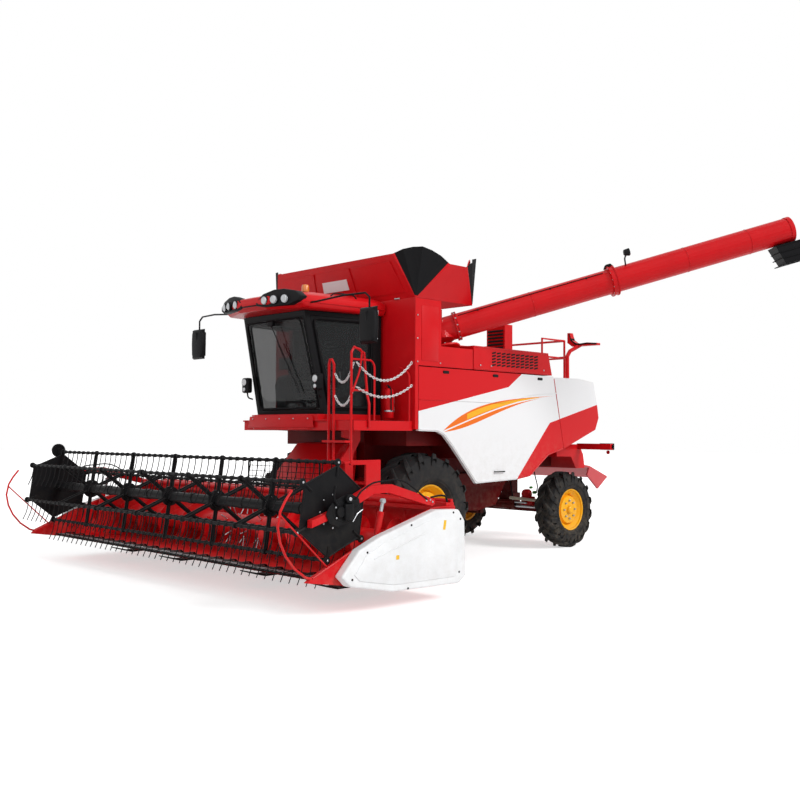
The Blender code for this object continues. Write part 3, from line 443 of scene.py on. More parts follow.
def copies(piece, places):
    """The piece once at each place, each copy with its own mesh; the pattern itself goes away."""
    made = []
    for place in places:
        twin = piece.copy()
        twin.data = piece.data.copy()
        twin.data.transform(place)
        if place.determinant() < 0:
            twin.data.flip_normals()
        bpy.context.collection.objects.link(twin)
        made.append(twin)
    bpy.data.objects.remove(piece)
    return made


def shift(x, y, z):
    return Matrix.Translation((x, y, z))


def about(centre, angle, axis):
    return Matrix.Translation(centre) @ Matrix.Rotation(angle, 4, axis) @ Matrix.Translation(-Vector(centre))


def joined(name, pieces, body, finish, smooth=0.6, stands_for=()):
    """The pieces as one object with a finish, riding on a body."""
    pieces = list(pieces)
    pick(*pieces)
    if len(pieces) > 1:
        bpy.ops.object.join()
    piece = bpy.context.object
    piece.name = piece.data.name = name
    piece.data.materials.clear()
    piece.data.materials.append(FINISHES[finish])
    for face in piece.data.polygons:
        face.material_index = 0
    piece.data.transform(Matrix.Translation(TO_FRAME))
    bpy.ops.object.shade_smooth_by_angle(angle=smooth)
    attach(piece, body)
    if stands_for:
        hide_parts(*stands_for)
    return piece


FINISHES = {}
SIDES = ((1, "left"), (-1, "right"))


# ---------------------------------------------------------------- frame finishes
class HarvesterPaint(bpy.types.PropertyGroup):
    red: FloatVectorProperty(name="Red", description="Body paint", default=(0.60, 0.004, 0.008), size=3,
                             min=0.0,
                             max=1.0, subtype="COLOR")
    white: FloatVectorProperty(name="White", description="Side panels and end shields", default=(0.82, 0.83,
            0.84),
                               size=3, min=0.0, max=1.0, subtype="COLOR")
    black: FloatVectorProperty(name="Black", description="Reel, knife and cab frame", default=(0.007, 0.007,
            0.008),
                               size=3, min=0.0, max=1.0, subtype="COLOR")
    rim: FloatVectorProperty(name="Rim", description="Wheel rims", default=(0.90, 0.43, 0.005), size=3, min=0.0,
                             max=1.0, subtype="COLOR")


def lit(name, colour, roughness=0.15):
    """Ribbed lens plastic over a bright reflector."""
    finish = Finish(name, Coat_Weight=0.5, Coat_Roughness=0.05, IOR=1.5)
    place = finish.place()
    ribs = finish.node("ShaderNodeTexWave", {"bands_direction": "Z"}, {"Vector": place, "Scale": 22.0,
            "Distortion": 0.0})
    spot = finish.noise(place, 14.0)
    return finish.feed(Base_Color=finish.mix(spot, shade(colour, 0.75), shade(colour, 1.0)),
                       Roughness=(roughness + 0.1 * spot).clamped(), Normal=finish.bump(ribs, 0.3, 0.002))


def livery(name, look):
    """White side panels whose ends are red, cut along slanting lines with a rim-coloured edge stripe."""
    finish = Finish(name, Coat_Weight=0.04, Coat_Roughness=0.1, Specular_IOR_Level=0.16)
    place = finish.place()
    x, z = finish.axis(place, 0), finish.axis(place, 2)
    top = (z - (2.19 - 0.205 * (x - 0.4))) / 1.02
    second = (z - (2.79 - 0.655 * (x + 1.90))) / 1.19
    bottom = ((2.02 - 1.026 * (x + 2.61)) - z) / 1.43
    lower = ((2.39 - 0.237 * (x + 4.0)) - z) / 1.03
    rear = (bottom > 0.0) * (x < -1.80) * (x > -2.66) + (lower > 0.0) * (x < -2.66)
    red = ((top > 0.0) * (x > -1.61) + (second > 0.0) * (x < -1.61) * (x > -2.45) + rear).clamped()
    # three tapering bands that climb towards the rear
    run = (x + 0.147) / -2.853
    rest = 1.0 - run
    climb = 1.925 + 1.0725 * run - 0.4935 * run * run
    swoop = (run > 0.0) * (run < 1.0)
    width = 0.95 * run * rest * rest * rest + 0.008
    band = (abs(z - climb) < width) * swoop
    gap = (abs(z - climb + 0.25 * width) < 0.010) * swoop
    stripe = (band - gap).clamped()
    inner = (abs(z - climb - 0.35 * width) < 0.38 * width) * (run > 0.18) * (run < 0.78)
    mottle, grime = finish.noise(place, 2.6, 4.0), finish.noise(place, 9.0, 6.0, 0.7)
    base = finish.mix(mottle, shade(look.white, 0.97), shade(look.white, 1.0))
    base = finish.mix(red, base, shade(look.red, 1.0))
    base = finish.mix(stripe, base, (0.80, 0.16, 0.01, 1.0))
    base = finish.mix(inner.clamped(), base, (0.85, 0.42, 0.02, 1.0))
    mask = ((1.0 - finish.ramp(z, 0.9, 2.0)) * 0.25 * finish.ramp(grime, 0.42, 0.72)).clamped()
    normal = finish.bump(finish.noise(place, 240.0, 2.0), 0.05, 0.001, finish.soft_edges(0.004))
    return finish.feed(Base_Color=finish.mix(mask, base, DUST),
                       Roughness=(0.3 + 0.06 * mottle + 0.3 * mask).clamped(), Normal=normal)


def finishes(look):
    """The named finishes, made once."""
    made = {}
    made["red"] = paint("red_enamel", look.red)
    # painted shade: the body red darkened to 0.17 stands in for the deep shade under the platform and body; the
    # dust on it is real
    made["painted_shade_red"] = paint("painted_shade_red_enamel", shade(look.red, 0.17)[:3], 0.45, 0.0, 0.004, 0.25, 0.1)
    made["faded_red"] = paint("faded_red_enamel", (0.60, 0.085, 0.095), 0.5, 0.05, 0.004, 0.3)
    made["white"] = paint("white_enamel", look.white, 0.34, 0.12, 0.004, 0.15)
    made["side"] = livery("side_panel_enamel", look)
    made["black"] = paint("black_enamel", look.black, 0.4, 0.0, 0.003, 0.05, 0.08)
    made["rim"] = paint("rim_enamel", look.rim, 0.36, 0.1, 0.003, 0.25)
    made["tyre"] = paint("tyre_rubber", (0.022, 0.022, 0.023), 0.82, 0.0, 0.004, 0.25, 0.12)
    made["rubber"] = paint("soft_rubber", (0.008, 0.008, 0.009), 0.72, 0.0, 0.003, 0.08, 0.1)
    made["steel"] = paint("plain_steel", (0.42, 0.43, 0.45), 0.35, 0.0)
    made["steel"].node_tree.nodes["Principled BSDF"].inputs["Metallic"].default_value = 1.0
    made["plastic"] = paint("black_plastic", (0.009, 0.009, 0.010), 0.5, 0.0, 0.003, 0.05, 0.1)
    made["green"] = paint("green_enamel", (0.05, 0.32, 0.04), 0.45)
    made["cream"] = paint("cream_enamel", (0.62, 0.57, 0.44), 0.4, 0.05)
    made["yellow"] = paint("yellow_film", (0.85, 0.50, 0.03), 0.4, 0.05, 0.001, 0.1)
    made["cloth"] = woven("seat_cloth")
    made["lens"] = lit("lamp_lens", (0.72, 0.74, 0.76))
    made["amber"] = lit("amber_lens", (0.80, 0.22, 0.01))
    made["red_lens"] = lit("red_lens", (0.50, 0.008, 0.01))
    mirror = Finish("mirror_face", Metallic=1.0)
    streak = mirror.noise(mirror.place(), 5.0)
    made["mirror"] = mirror.feed(Base_Color=mirror.mix(streak, (0.80, 0.82, 0.84, 1.0), (0.88, 0.9, 0.9, 1.0)),
                                 Roughness=0.03 + 0.05 * streak)
    glass = Finish("tinted_glass", Roughness=0.03, IOR=1.45, Alpha=0.45, Specular_IOR_Level=0.35)
    place = glass.place()
    smear = glass.noise(place, 3.0, 4.0)
    glass.feed(Base_Color=glass.mix(smear, (0.012, 0.014, 0.015, 1.0), (0.018, 0.020, 0.021, 1.0)),
               Roughness=0.02 + 0.05 * smear)
    made["glass"] = glass.material
    return made


def woven(name):
    """Dark woven seat cover."""
    finish = Finish(name, Sheen_Weight=0.3, Sheen_Roughness=0.5)
    place = finish.place()
    warp = finish.node("ShaderNodeTexWave", {"bands_direction": "X"}, {"Vector": place, "Scale": 160.0})
    weft = finish.node("ShaderNodeTexWave", {"bands_direction": "Y"}, {"Vector": place, "Scale": 160.0})
    patch = finish.noise(place, 11.0, 4.0)
    return finish.feed(Base_Color=finish.mix((warp * weft * 0.6 + 0.4 * patch).clamped(), (0.02, 0.02, 0.022,
            1.0), (0.06, 0.06, 0.066, 1.0)),
                       Roughness=0.8 + 0.1 * patch, Normal=finish.bump(warp * weft, 0.5, 0.001))


RED_NODES = ("cab_roof", "engine_deck", "feeder_house", "feed_auger", "grain_tank", "header_trough", "ladder",
             "platform", "rear_rail", "reel_arms", "straw_chute", "tailgate",
             "tank_extension", "unloading_auger", "lift_barrel_left", "lift_barrel_right")
# nodes under the platform that get the red darkened as painted shade
PAINTED_SHADE_NODES = ("chassis_frame", "drive_axle", "rear_axle", "threshing_body", "knuckle_left", "knuckle_right")
WHITE_NODES = ("end_shield_left", "end_shield_right")
SIDE_NODES = ("side_panel_left", "side_panel_right", "rear_hood")
FADED_NODES = ("straw_deflector",)
BLACK_NODES = ("cab_frame", "cab_door", "reel", "knife_bar", "engine", "mirror_left", "mirror_right",
               "steering_column", "unloading_spout", "tine_bar_1", "tine_bar_2", "tine_bar_3", "tine_bar_4",
               "tine_bar_5", "tine_bar_6", "seat")
RIM_NODES = ("drive_rim_left", "drive_rim_right", "steer_rim_left", "steer_rim_right")
TYRE_NODES = ("drive_tyre_left", "drive_tyre_right", "steer_tyre_left", "steer_tyre_right")
STEEL_NODES = ("lift_rod_left", "lift_rod_right", "reel_rod_left", "reel_rod_right", "steering_rod")
GLASS_NODES = ("windshield", "side_glass", "door_glass")


class HARVESTER_OT_frame_finishes(bpy.types.Operator):
    """Give every node of the frame its finish"""
    bl_idname = "harvester.frame_finishes"
    bl_label = "Frame finishes"

    def execute(self, context):
        made = finishes(context.scene.harvester_paint)
        FINISHES.update(made)
        # the darkened red given to the underside nodes is painted shade
        coats = ((RED_NODES, "red"), (PAINTED_SHADE_NODES, "painted_shade_red"), (WHITE_NODES, "white"), (SIDE_NODES, "side"),
                 (FADED_NODES, "faded_red"), (BLACK_NODES, "black"),
                 (RIM_NODES, "rim"), (TYRE_NODES, "tyre"), (STEEL_NODES, "steel"), (GLASS_NODES, "glass"))
        left = set(NODES)
        for names, finish in coats:
            for name in names:
                NODES[name].data.materials.clear()
                NODES[name].data.materials.append(made[finish])
                left.discard(name)
        if left:
            raise RuntimeError(f"nodes without a finish: {sorted(left)}")
        return {"FINISHED"}


# ---------------------------------------------------------------- wheels
class HarvesterWheels(bpy.types.PropertyGroup):
    drive_lugs: IntProperty(name="Drive lugs", description="Lugs on each half of a drive tyre", default=17,
                            min=8)
    steer_lugs: IntProperty(name="Steering lugs", description="Lugs on each half of a steering tyre",
                            default=15, min=8)
    lug_height: FloatProperty(name="Lug height", description="How far the lugs stand out of the tread",
                              default=0.044,
                              min=0.01, unit="LENGTH", subtype="DISTANCE")


# kind, wheel centre's x and y, radius, width, rim radius, disc offset, bolts, bolt circle
WHEELS = (("drive", 0.0, 1.225, 0.81, 0.58, 0.355, 0.10, 10, 0.19), ("steer", -3.59, 1.16, 0.6325, 0.378,
        0.3275, 0.06, 8, 0.15))


MIRROR_X, MIRROR_Y = Matrix.Scale(-1, 4, (1, 0, 0)), Matrix.Scale(-1, 4, (0, 1, 0))


def tyre(centre, radius, width, rim, lugs, height, side):
    """A carcass with rounded shoulders and two rows of slanted, overlapping lugs."""
    half, bead, tread = width / 2, width * 0.37, radius - height
    outer = [(rim + 0.002, bead), (rim + 0.018, bead + 0.004), (rim + 0.030, bead + 0.020), (rim + 0.065,
            half * 0.955),
             (rim + 0.12, half * 0.985), (tread - 0.14, half * 0.97), (tread - 0.07, half * 0.92),
             (tread - 0.025, half * 0.82), (tread, half * 0.55), (tread + 0.004, half * 0.2)]
    inner = [(tread - 0.05, half * 0.5), (rim + 0.09, bead * 0.9), (rim + 0.006, bead - 0.04)]
    profile = outer + [(r, -a) for r, a in reversed(outer)] + [(r, -a) for r, a in reversed(inner)] + inner
    carcass = turned(profile, (0, 0, 0), 64)
    grooves = []
    for along in (1, -1):
        for r in (rim + 0.085, rim + 0.100):
            ring = turned([(r - 0.003, half * 0.968 * along), (r, (half * 0.968 + 0.006) * along),
                           (r + 0.003, half * 0.968 * along), (r, (half * 0.96 - 0.004) * along)], (0, 0,
                                   0), 64)
            grooves.append(ring)
    # one lug, drawn on the tread and bent down over the shoulder
    pitch = 2 * math.pi / lugs
    rows = []
    steps = 7
    for step in range(steps):
        t = step / (steps - 1)
        along = -half * 0.04 + t * half * 1.035
        lean = t * 0.62 * pitch * 1.55
        if t < 0.78:
            base, top = tread - 0.012, radius - 0.0008
        else:
            drop = (t - 0.78) / 0.22
            base, top = tread - 0.012 - 0.10 * drop ** 1.2, radius - 0.0008 - 0.085 * drop ** 1.1
        wide = (0.023 + 0.019 * t) / radius
        rows.append((along, lean, wide, base, top))
    lug_points = []
    for along, lean, wide, base, top in rows:
        for r, w in ((base, wide * 1.5), (top, wide)):
            for sign in (-1, 1):
                angle = lean + sign * w
                lug_points.append(Vector((r * math.sin(angle), along, r * math.cos(angle))))
    deselect()
    bpy.ops.mesh.primitive_grid_add(x_subdivisions=3, y_subdivisions=steps - 1, size=1.0)
    lug = bpy.context.object
    for row in range(steps):
        low_a, low_b, top_a, top_b = lug_points[row * 4:row * 4 + 4]
        for column, spot in enumerate((low_a, top_a, top_b, low_b)):
            lug.data.vertices[row * 4 + column].co = spot
    bpy.ops.object.mode_set(mode="EDIT")
    bpy.ops.mesh.select_all(action="DESELECT")
    bpy.ops.mesh.select_non_manifold()
    bpy.ops.mesh.edge_face_add()
    bpy.ops.mesh.select_all(action="SELECT")
    bpy.ops.mesh.normals_make_consistent(inside=False)
    bpy.ops.object.mode_set(mode="OBJECT")
    bevelled(lug, 0.005, 1, 0.7)
    places = []
    for number in range(lugs):
        turn = Matrix.Rotation(number * pitch * side, 4, "Y")
        places.append(turn @ (Matrix.Identity(4) if side > 0 else MIRROR_X))
        places.append(Matrix.Rotation((number + 0.5) * pitch * side, 4, "Y")
                      @ (MIRROR_Y if side > 0 else MIRROR_X @ MIRROR_Y))
    parts = [carcass] + grooves + copies(lug, places)
    for part in parts:
        part.data.transform(Matrix.Translation(centre))
    return parts


def rim_disc(centre, width, rim, side, disc, bolts, circle):
    """A dropped-centre rim with a dished, bolted disc, a hub cover and a valve."""
    bead, well = width * 0.37, rim - 0.055
    front = [(rim + 0.014, bead + 0.012), (rim + 0.016, bead + 0.004), (rim + 0.004, bead - 0.004),
             (rim - 0.002, bead - 0.045),
             (well, bead * 0.55)]
    back = [(rim - 0.016, -bead - 0.004), (rim - 0.006, -bead - 0.012)]
    outside = front + [(r, -a) for r, a in reversed(front)]
    inside = [(rim - 0.012, -bead + 0.02), (well - 0.012, -bead * 0.5), (well - 0.012, bead * 0.5),
              (rim - 0.012, bead - 0.02),
              (rim - 0.004, bead + 0.004)]
    barrel = turned([(r, a * side) for r, a in outside + back[:1] + inside], (0, 0, 0), 56)
    dish = [(well - 0.008, disc - 0.035), (well - 0.008, disc - 0.022), (well - 0.035, disc - 0.008),
            (circle + 0.075, disc + 0.045),
            (circle + 0.045, disc + 0.050), (circle - 0.05, disc + 0.046), (circle - 0.06,
                    disc + 0.030), (circle - 0.06, disc + 0.012),
            (circle + 0.05, disc + 0.022), (well - 0.045, disc - 0.034)]
    plate_disc = turned([(r, a * side) for r, a in dish], (0, 0, 0), 48)
    hub = turned([(r, a * side) for r, a in [(0.0005, disc + 0.10), (circle - 0.105, disc + 0.10),
                                             (circle - 0.085, disc + 0.088),
                                            (circle - 0.080, disc + 0.05), (circle - 0.05,
                                                    disc + 0.046), (circle - 0.05, disc + 0.02),
                                            (0.0005, disc + 0.02)]], (0, 0, 0), 32)
    nut = drum((0, (disc + 0.044) * side, circle), (0, (disc + 0.072) * side, circle), 0.017, 6, bevel=0.002)
    stud = drum((0, (disc + 0.06) * side, circle), (0, (disc + 0.084) * side, circle), 0.008, 8, bevel=0.001)
    ring = drum((0, (disc + 0.041) * side, circle), (0, (disc + 0.047) * side, circle), 0.024, 12, bevel=0.001)
    turns = [Matrix.Rotation(2 * math.pi * n / bolts, 4, "Y") for n in range(bolts)]
    fixings = copies(nut, turns) + copies(stud, turns) + copies(ring, turns)
    valve = drum((0.0, (bead - 0.03) * side, well + 0.004), (0.0, (bead + 0.012) * side, well - 0.016), 0.005,
                 8, bevel=0.001)
    painted = [barrel, plate_disc, hub, valve]
    for part in painted + fixings:
        part.data.transform(Matrix.Translation(centre))
    return painted, fixings


class HARVESTER_OT_wheels(bpy.types.Operator):
    """Add the lugged tyres and the bolted rims"""
    bl_idname = "harvester.wheels"
    bl_label = "Wheels"

    def execute(self, context):
        look = context.scene.harvester_wheels
        for kind, x, y, radius, width, rim, disc, bolts, circle in WHEELS:
            count = look.drive_lugs if kind == "drive" else look.steer_lugs
            for side, word in SIDES:
                centre, body = (x, y * side, radius), f"{kind}_wheel_{word}"
                joined(f"{kind}_tyre_{word}_lugged", tyre(centre, radius, width, rim, count, look.lug_height,
                        side), body,
                       "tyre", 0.45, (f"{kind}_tyre_{word}",))
                painted, steel = rim_disc(centre, width, rim, side, disc, bolts, circle)
                joined(f"{kind}_rim_{word}_pressed", painted, body, "rim", 0.5, (f"{kind}_rim_{word}",))
                joined(f"{kind}_wheel_nuts_{word}", steel, body, "steel", 0.5)
        return {"FINISHED"}


# ---------------------------------------------------------------- reel
# the reel: its axis, the circle of its bars, half its length, and the first bar's angle in degrees
REEL_X, REEL_Z, REEL_R, REEL_HALF, REEL_PHASE = 3.26, 1.09, 0.505, 3.12, 38.0


class HarvesterReel(bpy.types.PropertyGroup):
    tines: IntProperty(name="Tines", description="Spring tines on each bar", default=44, min=4)
    tine_length: FloatProperty(name="Tine length", description="From the bar's middle to the tip", default=0.28,
                               min=0.05, unit="LENGTH", subtype="DISTANCE")


def reel_corners():
    return [(REEL_X + REEL_R * math.cos(math.radians(REEL_PHASE + 60 * n)),
             REEL_Z + REEL_R * math.sin(math.radians(REEL_PHASE + 60 * n))) for n in range(6)]


class HARVESTER_OT_reel(bpy.types.Operator):
    """Add the spring tines, the end plates' fittings and the spiders' ends"""
    bl_idname = "harvester.reel"
    bl_label = "Reel"

    def execute(self, context):
        look = context.scene.harvester_reel
        self.tines(look)
        self.spiders()
        self.end_plates()
        return {"FINISHED"}

    def tines(self, look):
        gap = 2 * REEL_HALF / look.tines
        for number, (x, z) in enumerate(reel_corners(), 1):
            # a spring coil round the bar, then a wire that leans forward and curls at its tip
            wire = tube([(x + 0.014, 0.0, z + 0.016), (x + 0.022, 0.0, z - 0.010), (x + 0.020, 0.0, z - 0.06),
                         (x + 0.042, 0.0, z - look.tine_length * 0.6), (x + 0.095, 0.0, z - look.tine_length)],
                        0.0068, 0.03, 0)
            coil = drum((x, -0.026, z), (x, 0.026, z), 0.0245, 10, bevel=0.006)
            places = [shift(0, -REEL_HALF + gap * (n + 0.5), 0) for n in range(look.tines)]
            parts = copies(wire, places) + copies(coil, places)
            joined(f"reel_tines_{number}", parts, f"tine_bar_{number}", "plastic", 0.7)

    def spiders(self):
        parts, pale = [], []
        corners = reel_corners()
        for n in range(5):
            y = (n - 2) * 2 * REEL_HALF / 6
            for x, z in corners:
                out = Vector((x - REEL_X, 0, z - REEL_Z)).normalized()
                tip = Vector((x, y, z))
                parts.append(drum(tip - Vector((0, 0.016, 0)), tip + Vector((0, 0.016, 0)), 0.034, 14,
                                  bevel=0.004))
                root = Vector((REEL_X, y, REEL_Z)) + out * 0.05
                fold = out.cross((0, 1, 0)) * 0.004
                parts.append(tube([root + Vector((0, 0.014, 0)) + fold, tip + Vector((0, 0.010,
                        0)) - out * 0.03], 0.011, 0, 1))
                pale.append(drum(tip + Vector((0, 0.015, 0)), tip + Vector((0, 0.024, 0)), 0.011, 6,
                                 bevel=0.002))
                pale.append(drum(Vector((REEL_X, y + 0.010, REEL_Z)) + out * 0.095, Vector((REEL_X, y + 0.018,
                        REEL_Z)) + out * 0.095,
                                 0.010, 6, bevel=0.002))
            hub = turned([(0.058, -0.035), (0.075, -0.035), (0.078, -0.012), (0.125, -0.011), (0.125, 0.011),
                          (0.078, 0.012),
                          (0.075, 0.035), (0.058, 0.035)], (REEL_X, y, REEL_Z), 24)
            parts.append(hub)
        # the tube's clamped bands between the spiders
        for n in range(6):
            y = (n - 2.5) * 2 * REEL_HALF / 6
            parts.append(turned([(0.0595, -0.05), (0.066, -0.05), (0.066, 0.05), (0.0595, 0.05)], (REEL_X, y,
                    REEL_Z), 24))
        joined("reel_spider_fittings", parts, "reel", "black")
        joined("reel_spider_bolts", pale, "reel", "steel")

    def end_plates(self):
        parts, pale = [], []
        corners = reel_corners()
        for side in (1, -1):
            face = side * (REEL_HALF + 0.010)
            # a pressed rim round the plate, and ears that hold the bars
            ring = [(REEL_X + 0.93 * (x - REEL_X), face - 0.004 * side, REEL_Z + 0.93 * (z - REEL_Z)) for x,
                    z in corners]
            parts.append(tube(ring, 0.010, 0.02, 1, closed=True))
            for x, z in corners:
                out = Vector((x - REEL_X, 0, z - REEL_Z)).normalized()
                tip = Vector((x, face, z))
                parts.append(drum(tip - Vector((0, side * 0.018, 0)), tip + Vector((0, side * 0.008, 0)), 0.040,
                                  16, bevel=0.004))
                inner = Vector((REEL_X, face, REEL_Z)) + out * 0.36
                parts.append(tube([inner, tip - out * 0.02], 0.016, 0, 1))
                pale.append(drum(tip + Vector((0, side * 0.006, 0)), tip + Vector((0, side * 0.014, 0)), 0.014,
                                 6, bevel=0.002))
            for n in range(8):
                a = 2 * math.pi * n / 8
                spot = Vector((REEL_X + 0.17 * math.cos(a), face - side * 0.002, REEL_Z + 0.17 * math.sin(a)))
                pale.append(drum(spot, spot + Vector((0, side * 0.008, 0)), 0.012, 6, bevel=0.002))
        joined("reel_plate_fittings", parts, "reel", "black")
        joined("reel_plate_bolts", pale, "reel", "steel")


class HARVESTER_OT_reel_arms(bpy.types.Operator):
    """Add the reel's drive, bearings, hoses and cylinder fittings"""
    bl_idname = "harvester.reel_arms"
    bl_label = "Reel arms and drive"

    def execute(self, context):
        parts, steel, hoses = [], [], []
        for side in (1, -1):
            y = side * 3.23
            carrier = plate([(3.18, 1.01), (3.18, 1.17), (3.24, 1.20), (3.32, 1.18), (3.36, 1.10), (3.33, 1.02),
                             (3.25, 0.99)], "Y",
                            y - 0.004 * side, y + 0.014 * side, 0.003)
            parts.append(carrier)
            parts.append(drum((REEL_X, y + 0.012 * side, REEL_Z), (REEL_X, y + 0.040 * side, REEL_Z), 0.055, 20,
                              bevel=0.006))
            # dark bearing bracket over the arm's end, with a gearbox and a tensioner
            parts.append(plate([(2.97, 1.125), (2.99, 1.215), (3.09, 1.265), (3.21, 1.250), (3.33, 1.205),
                                (3.40, 1.145), (3.44, 1.075),
                                (3.40, 0.985), (3.28, 0.935), (3.10,
                                        0.985)], "Y", y - 0.002 * side, y + 0.010 * side, 0.004))
            parts.append(block((3.10, min(y, y + 0.06 * side), 1.00), (3.22, max(y, y + 0.06 * side), 1.17),
                               0.014, 2))
            parts.append(drum((3.16, y, 1.22), (3.16, y + 0.055 * side, 1.22), 0.045, 18, bevel=0.006))
            parts.append(tube([(3.30, y + 0.02 * side, 1.16), (3.36, y + 0.03 * side, 1.24), (3.34,
                    y + 0.03 * side, 1.36)], 0.014, 0.03, 1))
            steel.append(drum((3.16, y + 0.055 * side, 1.22), (3.16, y + 0.068 * side, 1.22), 0.022, 6,
                              bevel=0.003))
            steel.append(tube([(3.08, y + 0.012 * side, 0.98), (3.02, y + 0.012 * side, 1.06), (2.94,
                    y + 0.010 * side, 1.10)], 0.007, 0.02, 1))
            parts.append(block((3.02, min(y, y + 0.05 * side), 1.145), (3.13, max(y, y + 0.05 * side), 1.205),
                               0.006))
            for dx, dz in ((-0.05, 0.06), (0.06, 0.05), (0.05, -0.06), (-0.055, -0.05)):
                steel.append(drum((REEL_X + dx, y + 0.012 * side, REEL_Z + dz), (REEL_X + dx, y + 0.024 * side,
                        REEL_Z + dz), 0.011, 6,
                                  bevel=0.002))
            for x, z in ((1.86, 1.125), (1.96, 1.145), (1.90, 1.15)):
                steel.append(drum((x, 3.223 * side, z), (x, 3.234 * side, z), 0.012, 6, bevel=0.002))
            # cylinder gland and its hoses
            hoses.append(tube([(1.95, y + 0.0 * side, 1.155), (2.10, y, 1.25), (2.30, y, 1.37), (2.46, y, 1.40),
                               (2.60, y, 1.385)],
                              0.009, 0.12))
            hoses.append(tube([(2.60, y, 1.385), (2.80, y, 1.375), (2.98, y + 0.01 * side, 1.28), (3.05,
                    y + 0.02 * side, 1.20)], 0.009, 0.1))
        # hydraulic motor and chain case at the right-hand end
        case = plate([(2.86, 1.17), (2.90, 1.24), (3.20, 1.20), (3.36, 1.16), (3.40, 1.08), (3.34, 1.01), (3.18,
                1.02)], "Y", -3.245,
                     -3.295, 0.012, 2)
        parts.append(case)
        parts.append(drum((3.00, -3.29, 1.19), (3.00, -3.36, 1.19), 0.05, 16, bevel=0.008))
        parts.append(turned([(0.070, -0.018), (0.100, -0.018), (0.088, 0.0), (0.100, 0.018), (0.070, 0.018)],
                            (3.20, -3.27, 1.61), 32))
        parts.append(turned([(0.0005, -0.010), (0.075, -0.010), (0.075, 0.010), (0.0005, 0.010)], (3.20, -3.27,
                1.61), 24))
        parts.append(plate([(3.17, 1.15), (3.185, 1.64), (3.215, 1.64), (3.25, 1.15)], "Y", -3.245, -3.255,
                           0.003))
        joined("reel_arm_bearings", parts, "reel_arms", "black")
        joined("reel_arm_bolts", steel, "reel_arms", "steel")
        joined("reel_arm_hoses", hoses, "reel_arms", "rubber")
        return {"FINISHED"}


# ---------------------------------------------------------------- header
SHIELD_FACE = 3.325    # outer side of the end shields


class HarvesterHeader(bpy.types.PropertyGroup):
    guards: IntProperty(name="Guards", description="Pointed guards along the knife", default=82, min=10)
    auger_pitch: FloatProperty(name="Auger pitch",
                               description="Distance from one turn of the flight to the next", default=0.60,
                               min=0.2, unit="LENGTH", subtype="DISTANCE")


def helix(start, turns, pitch, hand, phase, inner, outer, centre, thickness=0.006, steps=20):
    """A screw flight round an axis along Y, swept by a spin that climbs as it turns."""
    rows = []
    for step in range(int(turns * steps) + 1):
        angle = phase + hand * 2 * math.pi * step / steps
        y = start + pitch * step / steps
        c, s = math.cos(angle), math.sin(angle)
        rows.append([(centre[0] + r * c, y, centre[1] + r * s) for r in (inner, (inner + outer) / 2, outer)])
    return sheet_metal(rows, thickness)


